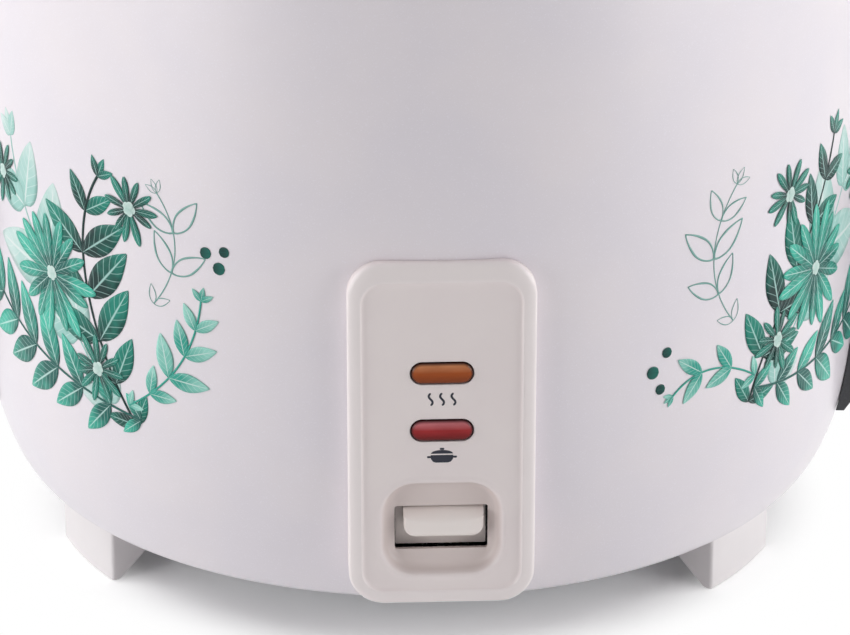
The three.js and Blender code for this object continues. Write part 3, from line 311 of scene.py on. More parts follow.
# ---------- Node trees ----------
class Tree:
    """A node tree, to which nodes are added one at a time."""

    def __init__(self, tree):
        self.tree = tree

    def add(self, kind, *inputs, **settings):
        """Adds a node with its settings. Its inputs are in order, with None for one left alone."""
        node = self.tree.nodes.new(kind)
        for key, value in settings.items():
            setattr(node, key, value)
        for socket, value in zip([socket for socket in node.inputs if socket.enabled], inputs):
            if isinstance(value, (bpy.types.Node, bpy.types.NodeSocket)):
                self.link(value, socket)
            elif value is not None:
                socket.default_value = value
        return node

    def link(self, start, end):
        """Links an output, or a node's first output in use, to an input."""
        if isinstance(start, bpy.types.Node):
            start = next(output for output in start.outputs if output.enabled)
        self.tree.links.new(start, end)

    def math(self, operation, *values):
        return self.add("ShaderNodeMath", *values, operation=operation)

    def vector(self, *values):
        return self.add("ShaderNodeCombineXYZ", *values)


class Graph(Tree):
    """A Geometry Nodes tree with named inputs, run once on a piece and then turned into its mesh."""

    KINDS = {float: "NodeSocketFloat", int: "NodeSocketInt",
             bpy.types.Object: "NodeSocketObject", bpy.types.Material: "NodeSocketMaterial"}

    def __init__(self, name, finish, **values):
        super().__init__(bpy.data.node_groups.new(name, "GeometryNodeTree"))
        face = self.tree.interface
        face.new_socket("Geometry", in_out="INPUT", socket_type="NodeSocketGeometry")
        face.new_socket("Geometry", in_out="OUTPUT", socket_type="NodeSocketGeometry")
        self.values = {}
        for label, value in {**values, "Finish": MATERIALS[finish]}.items():
            socket = face.new_socket(label, in_out="INPUT", socket_type=self.KINDS[type(value)])
            self.values[socket.identifier] = value
        self.given = self.tree.nodes.new("NodeGroupInput").outputs

    def random(self, low, high):
        return self.add("FunctionNodeRandomValue", low, high, None, self.given["Seed"], data_type="FLOAT")

    def turn_y(self, rotation, angle):
        """Turns a rotation about its own Y axis."""
        by = self.add("FunctionNodeAxisAngleToRotation", (0.0, 1.0, 0.0), angle)
        return self.add("FunctionNodeRotateRotation", rotation, by, rotation_space="LOCAL")

    def join(self, *parts):
        node = self.tree.nodes.new("GeometryNodeJoinGeometry")
        for part in parts:
            self.link(part, node.inputs[0])
        return node

    def copies(self, points, chosen, label, rotation, scale):
        """The shape given as this input, set on the points."""
        shape = self.add("GeometryNodeObjectInfo", self.given[label]).outputs["Geometry"]
        return self.add("GeometryNodeInstanceOnPoints", points, chosen, shape, None, None, rotation, scale)

    def run(self, piece, geometry):
        plain = self.add("GeometryNodeRealizeInstances", geometry)
        self.add("NodeGroupOutput", self.add("GeometryNodeSetMaterial", plain, None, self.given["Finish"]))
        modifier = piece.modifiers.new(self.tree.name, "NODES")
        modifier.node_group = self.tree
        for identifier, value in self.values.items():
            modifier[identifier] = value
        return bake(piece)


# ---------- Materials ----------
def srgb(red, green, blue):
    """A colour written 0 to 255, as linear values."""
    def linear(value):
        value /= 255
        return value / 12.92 if value <= 0.04045 else ((value + 0.055) / 1.055) ** 2.4
    return (linear(red), linear(green), linear(blue), 1.0)


class Finish(Tree):
    """A Principled material whose colour, roughness and bump come from its own nodes."""

    def __init__(self, name, **sockets):
        self.material = bpy.data.materials.new(name)
        self.material.use_nodes = True
        super().__init__(self.material.node_tree)
        self.shader = self.tree.nodes["Principled BSDF"]
        for socket, value in sockets.items():
            self.shader.inputs[socket.replace("_", " ")].default_value = value
        self.coordinates = self.add("ShaderNodeTexCoord").outputs["Object"]

    def noise(self, scale, detail, vector=None):
        return self.add("ShaderNodeTexNoise", vector or self.coordinates, scale, detail).outputs["Fac"]

    def cells(self, scale):
        """A random grey for each grain."""
        grains = self.add("ShaderNodeTexVoronoi", self.coordinates, scale)
        return self.add("ShaderNodeSeparateColor", grains.outputs["Color"])

    def ramp(self, value, low, high, out_low=0.0, out_high=1.0):
        return self.add("ShaderNodeMapRange", value, low, high, out_low, out_high)

    def cloud(self, scale, detail, out_low=0.0, out_high=1.0, vector=None):
        """Soft patches between two values."""
        return self.ramp(self.noise(scale, detail, vector), 0.3, 0.7, out_low, out_high)

    def mix(self, factor, *colours):
        """From one colour to another, each written 0 to 255 or made by a node."""
        colours = [srgb(*colour) if isinstance(colour, tuple) else colour for colour in colours]
        return self.add("ShaderNodeMix", factor, *colours, data_type="RGBA")

    def attribute(self, name):
        return self.add("ShaderNodeAttribute", attribute_name=name).outputs["Fac"]

    def own_map(self):
        """Where a point lies along and across its piece's own map."""
        return self.add("ShaderNodeSeparateXYZ", self.add("ShaderNodeUVMap")).outputs

    def stretched(self, x, y, z):
        return self.add("ShaderNodeMapping", self.coordinates, None, None, (x, y, z))

    def rings(self, scale):
        """Coordinates that change with the distance from the axis and with height, for turned metal."""
        x, y, z = self.add("ShaderNodeSeparateXYZ", self.coordinates).outputs
        distance = self.add("ShaderNodeVectorMath", self.vector(x, y), operation="LENGTH")
        return self.vector(self.math("MULTIPLY", distance, scale), self.math("MULTIPLY", z, scale))

    def made(self, colour, roughness, relief, height):
        """The material, with its colour, its roughness and a relief of this height in millimetres."""
        self.link(colour, self.shader.inputs["Base Color"])
        self.link(roughness, self.shader.inputs["Roughness"])
        bump = self.add("ShaderNodeBump")
        bump.inputs["Distance"].default_value = height * MM
        self.link(relief, bump.inputs["Height"])
        self.link(bump, self.shader.inputs["Normal"])
        return self.material


def pearl_paint(name):
    finish = Finish(name, Metallic=0.12, Coat_Weight=0.25, Coat_Roughness=0.12, Coat_IOR=1.45)
    body = finish.mix(finish.ramp(finish.noise(28, 2), 0.35, 0.65), (234, 228, 235), (238, 231, 236))
    flake = finish.ramp(finish.cells(3400), 0.9, 1.0, 0.0, 0.5)
    colour = finish.mix(flake, body, (245, 240, 248))
    return finish.made(colour, finish.cloud(240, 2, 0.34, 0.42), finish.noise(700, 2), 0.006)


def moulded_plastic(name, dull, bright):
    """Plastic with painted light from an attribute: painted shade where it is above nought, and a painted
    highlight where it is below.
    """
    finish = Finish(name, Coat_Weight=0.12, Coat_Roughness=0.2)
    painted_light = finish.attribute("painted_light")
    # painted shade: towards a darker pink where the attribute is above nought
    body = finish.mix(painted_light, finish.mix(finish.cloud(45, 3), dull, bright), (226, 213, 210))
    # painted highlight: towards a paler pink where the attribute is below nought
    colour = finish.mix(finish.math("MULTIPLY", painted_light, -1), body, (252, 244, 244))
    return finish.made(colour, finish.cloud(500, 3, 0.34, 0.46), finish.noise(1500, 3), 0.004)


def black_plastic(name):
    finish = Finish(name, Coat_Weight=0.1, Coat_Roughness=0.25)
    body = finish.mix(finish.cloud(60, 3), (40, 41, 45), (50, 51, 55))
    colour = finish.mix(finish.ramp(finish.cells(3000), 0.8, 1.0), body, (58, 59, 62))
    return finish.made(colour, finish.cloud(700, 3, 0.36, 0.5), finish.noise(2200, 2), 0.01)


def lens_plastic(name, light, middle, deep, rim):
    finish = Finish(name, Specular_IOR_Level=0.16, Coat_Weight=0.1, Coat_Roughness=0.05)
    up = finish.own_map()[1]
    # painted shade towards the bottom of the lens and a painted highlight towards its top; deep also colours
    # the random streaks
    body = finish.mix(finish.ramp(up, 0.1, 0.5), deep, middle)
    body = finish.mix(finish.ramp(up, 0.55, 0.85), body, light)
    body = finish.mix(finish.cloud(420, 3, 0.0, 0.35, finish.stretched(0.25, 1, 1)), body, deep)
    # painted shade: the rim colour darkens the lens towards its edge
    colour = finish.mix(finish.ramp(finish.attribute("edge"), 0.3, 0.9), body, rim)
    return finish.made(colour, finish.cloud(600, 2, 0.16, 0.26), finish.noise(260, 2), 0.02)


def spun_metal(name, dull, bright):
    finish = Finish(name, Metallic=1.0)
    lines = finish.noise(1.0, 4, finish.rings(2600))
    shade = finish.math("MULTIPLY", finish.math("ADD", lines, finish.noise(35, 3)), 0.5)
    colour = finish.mix(finish.ramp(shade, 0.38, 0.62), dull, bright)
    return finish.made(colour, finish.ramp(lines, 0.3, 0.7, 0.24, 0.38), lines, 0.006)


def plain_metal(name, dull, bright):
    finish = Finish(name, Metallic=1.0)
    scratches = finish.noise(900, 4, finish.stretched(1, 0.15, 1))
    colour = finish.mix(finish.cloud(140, 3), dull, bright)
    return finish.made(colour, finish.ramp(scratches, 0.3, 0.7, 0.2, 0.34), scratches, 0.004)


def grainy(name, dark, light, roughness, grain_scale, grain_height):
    finish = Finish(name)
    grain = finish.cells(grain_scale)
    body = finish.mix(finish.cloud(90, 4), dark, light)
    colour = finish.mix(finish.ramp(grain, 0.7, 1.0, 0.0, 0.4), body, light)
    return finish.made(
        colour, finish.ramp(grain, 0.0, 1.0, roughness - 0.06, roughness + 0.06), grain, grain_height)


def clear_glass(name):
    finish = Finish(name, IOR=1.48, Transmission_Weight=1.0)
    colour = finish.mix(finish.cloud(30, 2), (236, 246, 243), (244, 250, 248))
    return finish.made(
        colour, finish.ramp(finish.noise(200, 2), 0.4, 0.8, 0.01, 0.04), finish.noise(25, 1), 0.02)


def ink(name, inner, outer, vein):
    """Print ink, whose colour runs from the inner to the outer end of each leaf or petal, with veins."""
    finish = Finish(name, Specular_IOR_Level=0.25, Coat_Weight=0.1, Coat_Roughness=0.12)
    along, across = finish.own_map()[:2]
    off_middle = finish.math("ABSOLUTE", finish.math("SUBTRACT", across, 0.5))
    wander = finish.ramp(finish.noise(170, 3), 0.25, 0.75, -0.3, 0.3)
    shade = finish.ramp(finish.attribute("shade"), 0.0, 1.0, -0.3, 0.3)
    run = finish.math("ADD", finish.math("ADD", along, wander), shade)
    slant = finish.math("SUBTRACT", finish.math("MULTIPLY", along, 7), finish.math("MULTIPLY", off_middle, 3))
    side_veins = finish.ramp(finish.math("FRACT", slant), 0.84, 0.95, 0.0, 0.45)
    middle_vein = finish.ramp(off_middle, 0.05, 0.015, 0.0, 0.8)
    body = finish.mix(finish.ramp(run, 0.15, 0.95), inner, outer)
    colour = finish.mix(finish.math("MAXIMUM", side_veins, middle_vein), body, vein)
    return finish.made(colour, finish.cloud(240, 2, 0.34, 0.42), finish.noise(700, 2), 0.006)


FINISHES = {
    "pearl_paint": (pearl_paint,),
    "white_plastic": (moulded_plastic, (245, 234, 234), (248, 238, 237)),
    # the panel's white plastic made lighter and warmer for the lever tab: painted light
    "tab_plastic": (moulded_plastic, (254, 243, 239), (255, 247, 243)),
    "leg_plastic": (moulded_plastic, (234, 229, 230), (238, 233, 234)),
    "black_plastic": (black_plastic,),
    # lens colours: light is a painted highlight, deep a painted shade and the streaks' colour, rim a painted
    # dark edge
    "amber_lens": (lens_plastic, (216, 142, 96), (174, 82, 28), (132, 58, 14), (58, 22, 8)),
    "red_lens": (lens_plastic, (220, 128, 134), (178, 46, 50), (104, 8, 8), (58, 4, 12)),
    "aluminium": (spun_metal, (196, 197, 199), (216, 217, 218)),
    "steel": (plain_metal, (176, 178, 181), (200, 202, 204)),
    "brass": (plain_metal, (196, 160, 88), (216, 182, 112)),
    "ferrite": (grainy, (46, 47, 50), (66, 67, 70), 0.7, 2200, 0.02),
    "silicone": (grainy, (62, 62, 65), (78, 78, 81), 0.75, 3500, 0.006),
    "phenolic": (grainy, (84, 56, 40), (104, 74, 54), 0.6, 2600, 0.01),
    "clear_glass": (clear_glass,),
    "deep_ink": (ink, (6, 46, 44), (24, 134, 116), (186, 228, 221)),
    "teal_ink": (ink, (8, 92, 84), (66, 190, 166), (204, 236, 230)),
    "mint_ink": (ink, (56, 168, 150), (158, 222, 208), (224, 242, 238)),
    "pale_ink": (ink, (160, 208, 200), (208, 230, 226), (232, 240, 238)),
    "line_ink": (ink, (128, 176, 168), (172, 204, 198), (206, 214, 210)),
    "heart_ink": (ink, (186, 216, 208), (212, 232, 226), (200, 224, 216)),
    "berry_ink": (ink, (6, 62, 58), (20, 108, 96), (14, 86, 78)),
    "mark_ink": (ink, (48, 50, 62), (48, 50, 62), (48, 50, 62)),
}
MATERIALS = {name: make(name, *values) for name, (make, *values) in FINISHES.items()}


# ---------- Drum ----------
def drum_radius(z, grow=0.0):
    """The drum's outer radius at this height."""
    if z >= BASE_Z + CURVE_HEIGHT:
        return DRUM_RADIUS + grow
    part = (BASE_Z + CURVE_HEIGHT - z) / (CURVE_HEIGHT + grow)
    return DRUM_RADIUS - CURVE_INSET + grow + CURVE_INSET * math.sqrt(max(0.0, 1 - part * part))


def drum_y(x, z):
    """The Y of a seat on the drum's front at this x and z."""
    return -math.sqrt(max(1.0, drum_radius(z, SEAT) ** 2 - x * x))


def outer_shell():
    """The enamelled drum: base flange, lower curve, straight wall, shoulder and rolled-in rim."""
    base_radius = DRUM_RADIUS - CURVE_INSET
    wall_bottom, wall_top, steps, segments = BASE_Z + CURVE_HEIGHT, TOP_Z - 10, 36, 288
    profile = [(base_radius - 20, BASE_Z), (base_radius - 8, BASE_Z)]
    profile += arc(base_radius, wall_bottom, CURVE_INSET, CURVE_HEIGHT, -90, 0, 40)
    profile += [(DRUM_RADIUS, wall_bottom + (wall_top - wall_bottom) * k / steps) for k in range(1, steps)]
    profile += arc(DRUM_RADIUS - 5, wall_top, 5, 10, 0, 90, 14)
    profile.append((DRUM_RADIUS - 10, TOP_Z))

    def open_at(point):
        """Whether the drum is cut away here, behind the panel or the mains inlet."""
        if point.y < 0:
            return abs(point.x) < 20 and DISH_Z - 17.6 < point.z < LENS_Z["warm_lens"] + 5.5
        return abs(point.x) < 14.6 and abs(point.z - INLET_Z) < 10.6

    bm = bmesh.new()
    rings = [[bm.verts.new(point) for point in circle_at(radius, z, segments)] for radius, z in profile]
    for low, high in zip(rings, rings[1:]):
        for k in range(segments):
            corners = [low[k], low[(k + 1) % segments], high[(k + 1) % segments], high[k]]
            if not open_at(sum((v.co for v in corners), Vector()) / 4):
                bm.faces.new(corners)
    bmesh.ops.delete(bm, geom=[v for v in bm.verts if not v.link_faces], context="VERTS")
    piece = walled(new_piece("drum_shell", bm, 50, closed=False), 1.0)
    dress(piece, "cooker_body", "pearl_paint", "outer_shell")


# ---------- Control panel ----------
def panel_loop(side, top, bottom, y):
    """The panel's outline moved in from its sides, top and bottom."""
    top += TOP_TRIM
    loop = rect_loop(PANEL_WIDTH - 2 * side, PANEL_HEIGHT - top - bottom, PANEL_CORNER - side, 14, 8)
    return facing(loop, y, 0.0, PANEL_MID_Z + (bottom - top) / 2)


def dish_loops():
    """From the bead round the dish, down its wall and its sloping floor, to the slot."""
    loops = []
    for grow, y in ((1.9, 0), (1.3, -0.02), (0.9, -0.18), (0.5, -0.3), (0.1, -0.27), (-0.3, -0.05),
                    (-0.6, 0.35), (-0.85, 0.95), (-1.1, 1.6), (-1.4, 2.25), (-1.8, 2.8), (-2.3, 3.2),
                    (-2.9, DISH_DEPTH)):
        loop = rect_loop(DISH_WIDTH + 2 * grow, DISH_HEIGHT + 2 * grow, DISH_CORNER + grow, 12, 6)
        loops.append(facing(loop, FACE_Y + y, 0, DISH_Z))
    edge = rect_loop(DISH_WIDTH - 5.8, DISH_HEIGHT - 5.8, DISH_CORNER - 2.9, 12, 6)
    slot = rect_loop(SLOT_WIDTH, SLOT_HEIGHT, 0.7, 12, 6)
    slot_y = FACE_Y + DISH_DEPTH + 0.4
    for part in (0.14, 0.3, 0.5, 0.7, 0.88, 1.0):
        y = FACE_Y + DISH_DEPTH + (slot_y - FACE_Y - DISH_DEPTH) * part
        z = DISH_Z + (SLOT_Z - DISH_Z) * part
        loops.append([
            (ax + (bx - ax) * part, y, z + az + (bz - az) * part) for (ax, az), (bx, bz) in zip(edge, slot)])
    return loops + [facing(slot, slot_y + inward, 0, SLOT_Z) for inward in (0.12, 1.3)]


def fill_face(bm, loops):
    """Fills the flat face between an outer loop and the loops inside it."""
    pairs = [(vertex, loop[i - 1]) for loop in loops for i, vertex in enumerate(loop)]
    edges = [bm.edges.get(pair) or bm.edges.new(pair) for pair in pairs]
    bmesh.ops.triangle_fill(bm, use_beauty=True, edges=edges, normal=(0, -1, 0))


def control_panel():
    """The moulded panel: raised rim, flat face, two lens holes and the lever slot in its dish, with a painted
    highlight on the rim and painted shade in the dish.
    """
    side, top, bottom = 4.3, 6.3, 4.9
    section = [(0.0, 2.2), (0.01, 1.75), (0.04, 1.35), (0.1, 1.02), (0.2, 0.74), (0.34, 0.47), (0.5, 0.25),
               (0.64, 0.1), (0.75, 0.02), (0.8, 0.0), (0.85, 0.05), (0.89, 0.2), (0.92, 0.42), (0.96, 0.62),
               (1.02, 0.78), (1.1, 0.89), (1.2, 0.96)]
    back = [(x, drum_y(x, z), z) for x, _, z in panel_loop(0, 0, 0, 0)]
    middle = [(x, (y + FRONT_Y + 1.9) / 2, z) for x, y, z in back]
    loops = [back, middle]
    loops += [panel_loop(side * t, top * t, bottom * t, FRONT_Y + depth) for t, depth in section]
    loops.append(panel_loop(side + 1.6, top + 1.6, bottom + 1.6, FACE_Y))
    bm = bmesh.new()
    # this attribute carries painted light: a painted highlight on the rim and painted shade in the dish
    painted_light = bm.verts.layers.float.new("painted_light")
    rim_rings = loft(bm, loops)
    dish_rings = loft(bm, dish_loops())
    # painted highlight on the rim's rings, and painted shade that deepens down into the dish
    painted_light_rings = [(ring, -0.6) for ring in rim_rings[3:-6]]
    painted_light_rings += [(ring, min(max((step - 5) / 4, 0.0), 1.0)) for step, ring in enumerate(dish_rings)]
    mark_rings(painted_light, painted_light_rings)
    holes = []
    for z in LENS_Z.values():
        hole = []
        for grow, inward in ((1.2, 0), (0.5, 0), (0.36, 0.06), (LENS_GAP, 0.2), (LENS_GAP, 2.0)):
            outline = stadium(LENS_WIDTH + 2 * grow, LENS_HEIGHT + 2 * grow)
            hole.append(facing(outline, FACE_Y + inward, 0, z))
        holes.append(loft(bm, hole)[0])
    fill_face(bm, [rim_rings[-1], dish_rings[0], *holes])
    bmesh.ops.recalc_face_normals(bm, faces=bm.faces)
    if min(bm.faces, key=lambda f: f.calc_center_median().y).normal.y > 0:
        bmesh.ops.reverse_faces(bm, faces=bm.faces)
    piece = walled(new_piece("control_panel_moulding", bm, 40, closed=False), 1.5)
    dress(piece, "cooker_body", "white_plastic", "control_panel")


def lens(name, slot):
    """A domed lens, with an attribute that rises towards its edge and a map across its face."""
    z = LENS_Z[name]
    section = [(0.0, 3.0), (0.0, 0.15), (0.1, -0.12), (0.3, -0.34), (0.62, -0.54), (1.05, -0.7), (1.6, -0.81),
               (2.2, -0.87), (2.8, -0.895), (3.05, -0.9)]
    bm = bmesh.new()
    edge = bm.verts.layers.float.new("edge")
    face_map = bm.loops.layers.uv.new("face")
    rings = loft(bm, [
        facing(stadium(LENS_WIDTH - 2 * inset, LENS_HEIGHT - 2 * inset), FACE_Y + y, 0, z)
        for inset, y in section], caps=True)
    # the edge attribute carries the lens's painted edge shade
    mark_rings(edge, [(ring, max(0.0, 1 - inset / 1.1)) for (inset, _), ring in zip(section, rings)])
    map_faces(bm, face_map, lambda v: (v.co.x / LENS_WIDTH + 0.5, (v.co.z - z) / LENS_HEIGHT + 0.5))
    dress(new_piece(name + "_dome", bm, 60), "cooker_body", slot, name)


def stroke(points, width):
    """A flat line of this width along the points, with tapered ends."""
    left, right = [], []
    for i, point in enumerate(points):
        along = Vector(points[min(i + 1, len(points) - 1)]) - Vector(points[max(i - 1, 0)])
        side = Vector((-along.y, along.x)).normalized() * width / 2
        if i in (0, len(points) - 1):
            side *= 0.45
        left.append(tuple(Vector(point) + side))
        right.append(tuple(Vector(point) - side))
    return left + right[::-1]


def lens_marks():
    """A mark printed under each lens: rising heat for warm, and a covered pot for cook."""
    warm_z, cook_z = (LENS_Z[name] - 7.9 for name in ("warm_lens", "cook_lens"))
    marks = []
    for x in (-3.2, 0.0, 3.2):
        wave = [(x + 0.55 * math.sin(2 * math.pi * k / 16), warm_z - 1.9 + 3.8 * k / 16) for k in range(17)]
        marks.append(stroke(wave, 0.62))
    lower = [(3.2, 0.35), (3.1, -0.9), (2.5, -1.75), (1.7, -2.0)]
    bowl = [(-3.2, 0.35)] + lower + [(-x, z) for x, z in lower[:0:-1]]
    cover = [(-3.5, 0.75)] + arc(0, 0.75, 3.1, 1.15, 180, 0, 16) + [(3.5, 0.75)]
    knob = [(x, z + 2.25) for x, z in rect_loop(1.3, 0.6, 0.28, 4, 2)]
    ears = [[(x + side * 3.6, z - 0.25) for x, z in rect_loop(1.3, 0.62, 0.3, 4, 2)] for side in (-1, 1)]
    marks += [[(x, z + cook_z) for x, z in shape] for shape in (bowl, cover, knob, *ears)]
    piece = lofted("lens_marks", *[[facing(mark, FACE_Y + y) for y in (-0.03, 0.03)] for mark in marks])
    dress(piece, "cooker_body", "white_plastic", finish="mark_ink")


def tab_loop(inset, scoop, top, bottom):
    """The tab's outline: square at the top, which the scoop hollows, and round at its lower corners."""
    half = 11.4 - inset
    corner = 3.4 - 0.6 * inset
    edge = [half * (1 - k / 12) for k in range(25)]
    loop = [(x, top - scoop * (1 - 0.3 * (x / half) ** 2)) for x in edge]
    for centre, start in ((corner - half, 180), (half - corner, 270)):
        loop += arc(centre, bottom + inset + corner, corner, corner, start, start + 90, 8)
    return loop


def lever_tab():
    """The cook lever's tab: a wedge with a scooped top, on the skirt behind the slot."""
    low, high = node_box("lever_tab")
    front, skirt_front = low.y, high.y - 1.1
    top = SLOT_Z + SLOT_HEIGHT / 2 - 0.3
    bottom = SLOT_Z - SLOT_HEIGHT / 2 + 4.9
    rows = [(skirt_front + 0.4 - front, 0.0, 0.0), (4.4, 0.0, 0.2), (3.6, 0.0, 0.5), (2.9, 0.0, 0.85),
            (2.2, 0.0, 1.3), (1.6, 0.02, 1.75), (1.05, 0.08, 2.25), (0.6, 0.2, 2.7), (0.3, 0.42, 3.1),
            (0.1, 0.75, 3.5), (0.0, 1.2, 3.9), (0.0, 2.0, 4.4)]
    wedge = [facing(tab_loop(inset, scoop, top, bottom), front + y, 0.6) for y, inset, scoop in rows]
    skirt_foot = SLOT_Z - SLOT_HEIGHT / 2 - 0.45
    outline = rect_loop(SLOT_WIDTH - 0.7, high.z - skirt_foot, 0.4, 6, 4)
    skirt = [facing(outline, y, 0, (skirt_foot + high.z) / 2) for y in (high.y, skirt_front)]
    piece = lofted("lever_tab_moulding", wedge, skirt, smooth_angle=40)
    # the tab's finish is the panel's plastic painted lighter and warmer, as painted light
    dress(piece, "cook_lever", "white_plastic", "lever_tab", finish="tab_plastic")


# ---------- Legs and handles ----------
def prism(name, outline, low, high, axis):
    """A solid block with this outline, from low to high along Y or Z."""
    return lofted(name, [
        [(a, t, b) if axis == "y" else (a, b, t) for a, b in outline] for t in (low, high)])


def sector_loop(inner, outer, half_angle, corner, z):
    """An arc-shaped bar seen from above, with rounded corners, towards +X."""
    half = math.radians(half_angle)
    points = []
    for radius, first, last, side in ((outer, -half, half, 1), (inner, half, -half, -1)):
        trim = math.copysign(corner / radius, last - first)
        first, last = first + trim, last - trim
        for angle, sweep in ((first, -90), (last, 0)):
            reach = radius - side * corner
            base = math.degrees(angle) + (0 if side > 0 else 180) + sweep
            centre = (reach * math.cos(angle), reach * math.sin(angle))
            points += arc(*centre, corner, corner, base, base + 90, 5)
            if sweep:
                along = [first + (last - first) * k / 14 for k in range(1, 14)]
                points += [(radius * math.cos(a), radius * math.sin(a)) for a in along]
    return [(x, y, z) for x, y in points]


def leg(place, angle):
    """A hollow leg that reaches farther inwards the higher it gets."""
    hollow_top, wall = 17.3, 2.5
    loops = []
    for z, inset in ((0.0, 0.7), (0.2, 0.3), (0.6, 0.05), (1.0, 0), (5.0, 0), (11.0, 0), (hollow_top, 0),
                     (LEG_HEIGHT, 0)):
        inner = LEG_RADIUS - 3 - 23 * min(1.0, z / hollow_top)
        half_angle = LEG_HALF_ANGLE - math.degrees(inset / LEG_RADIUS)
        loops.append(sector_loop(inner + inset / 2, LEG_RADIUS - inset, half_angle, 0.9 if z < 1 else 1.1, z))
    piece = lofted(f"leg_{place}_moulding", loops)
    half_angle = LEG_HALF_ANGLE - math.degrees(wall / LEG_RADIUS)
    cut(piece, lofted("hollow", [
        sector_loop(88.0, LEG_RADIUS - wall, half_angle, 1.5, z) for z in (-1.0, hollow_top)]))
    piece.data.set_sharp_from_angle(angle=math.radians(40))
    turned(piece, angle + BRACKET_TURN - 90)
    dress(piece, "cooker_body", "white_plastic", f"leg_{place}", finish="leg_plastic")


def handle(side, angle):
    """A heat-proof handle: a rounded grip that sweeps down into two arms on the drum."""
    low, high = node_box(f"handle_{side}")
    base, top = low.z, high.z
    reach, half_width = HANDLE_REACH, HANDLE_HALF_WIDTH
    lip = top - 14
    tip = drum_radius(base) + 2.8
    sweep = bezier((tip, base), (tip + 9, base + 17), (reach - 9, lip - 16), (reach, lip), 24)
    side_view = [(DRUM_RADIUS - 12, base)] + sweep
    side_view += arc(reach - 3, top - 3, 3, 3, 0, 90, 5) + [(DRUM_RADIUS - 12, top)]

    def plan(inset):
        """The handle seen from above, moved in from its outside."""
        corner, end, half = 15 - inset, reach - inset, half_width - inset
        points = [(DRUM_RADIUS - 24, -half)] + arc(end - corner, corner - half, corner, corner, -90, 0, 16)
        points += arc(end - corner, half - corner, corner, corner, 0, 90, 16)
        return points + [(DRUM_RADIUS - 24, half)]

    piece = prism(f"handle_{side}_moulding", side_view, -half_width - 1, half_width + 1, "y")
    cut(piece, prism("plan", plan(0), base - 1, top + 1, "z"), "INTERSECT")
    hugging = [(x + 6 * k / len(sweep), z) for k, (x, z) in enumerate(sweep)]
    envelope = [(0, base - 1), (tip, base - 1)] + hugging + [(reach + 9, top + 1), (0, top + 1)]
    cut(piece, lathe("envelope", envelope, 192), "INTERSECT")
    hollow = prism("hollow", plan(4), base - 2, top - 6, "z")
    heights = [base - 9 + 4 * k for k in range(24)]
    for block, grow in ((hollow, 3.3), (piece, 0.3)):
        profile = [(0, heights[0])] + [(drum_radius(z, grow), z) for z in heights] + [(0, heights[-1])]
        cut(block, lathe("drum_side", profile, 192))
    cut(piece, hollow)
    soften(piece, 1.1)
    turned(piece, angle + BRACKET_TURN - 90)
    dress(piece, "cooker_body", "black_plastic", f"handle_{side}")


# ---------- Mains inlet ----------
def inlet_housing():
    """The socket at the back: a sleeve through the drum, a flange on it and the mouth."""
    def outline(width, height, corner, grow=0.0):
        return rect_loop(width + 2 * grow, height + 2 * grow, corner, 8, 8)

    sleeve = outline(28.4, 20.6, 4)
    loops = [facing(sleeve, INLET_LOW.y, 0, INLET_Z)]
    for loop in (sleeve, outline(46, 27, 4)):
        loops.append([(x, -drum_y(x, z + INLET_Z), z + INLET_Z) for x, z in loop])
    for grow, y in ((0, 0.9), (-0.1, 0.5), (-0.35, 0.2), (-0.8, 0.02), (-1.4, 0)):
        loops.append(facing(outline(46, 27, 4 + grow / 2, grow), INLET_HIGH.y - y, 0, INLET_Z))
    for grow, y in ((0.5, 0), (0.15, 0.1), (0, 0.4), (0, 19)):
        loops.append(facing(outline(24.4, 16.6, 2 + grow, grow), INLET_HIGH.y - y, 0, INLET_Z))
    dress(lofted("inlet_moulding", loops), "cooker_body", "black_plastic", "inlet_housing")


# ---------- Liner, pot and heating plate ----------
def vessel(node, name, body, wall, corner, flange, hole, lip):
    """A drawn vessel with a rounded corner, a flat flange and an optional hole in its floor."""
    low, high = node_box(node)
    radius, bottom, top = high.x - flange, low.z, high.z
    outside = [(hole, bottom, 0), (radius, bottom, corner + wall), (radius, top - wall, 0.9)]
    rim = [(radius + flange, top - wall, lip), (radius + flange, top, lip)]
    inside = [(radius - wall, top, 1.6), (radius - wall, bottom + wall, corner), (hole, bottom + wall, 0)]
    dress(lathe(name, rounded(outside + rim + inside, 9), 200, 50), body, "aluminium", node)


def heating_plate():
    low, high = node_box("heating_plate")
    top, under, radius = high.z, low.z, high.x
    web, edge = top - 11, top - 9
    profile = rounded([
        (23.5, under, 0.5), (31, under, 1), (35, web, 2), (radius - 38, web, 2), (radius - 34, under, 2),
        (radius - 16, under, 2), (radius - 12, web, 2), (radius - 1.5, edge, 0.6), (radius, edge + 1.5, 0.6),
        (radius, top, 1.8), (23.5, top, 1.5)])
    dress(lathe("heating_plate_casting", profile, 192), "cooker_body", "aluminium", "heating_plate")


def sensor_cap():
    """The cap that the pot presses, with its stem."""
    low, high = node_box("sensor_cap")
    top, under = high.z, high.z - 1.2
    profile = rounded([
        (0, top, 0), (21, top, 1.2), (21, top - 10, 0.3), (19.8, top - 10, 0.3), (19.8, under, 0.8),
        (10.3, under, 0.3), (10.3, low.z, 0.2), (9.1, low.z, 0.2), (9.1, under, 0.2), (0, under, 0)])
    dress(lathe("sensor_cap_pressing", profile, 96), "sensor", "aluminium", "sensor_cap")


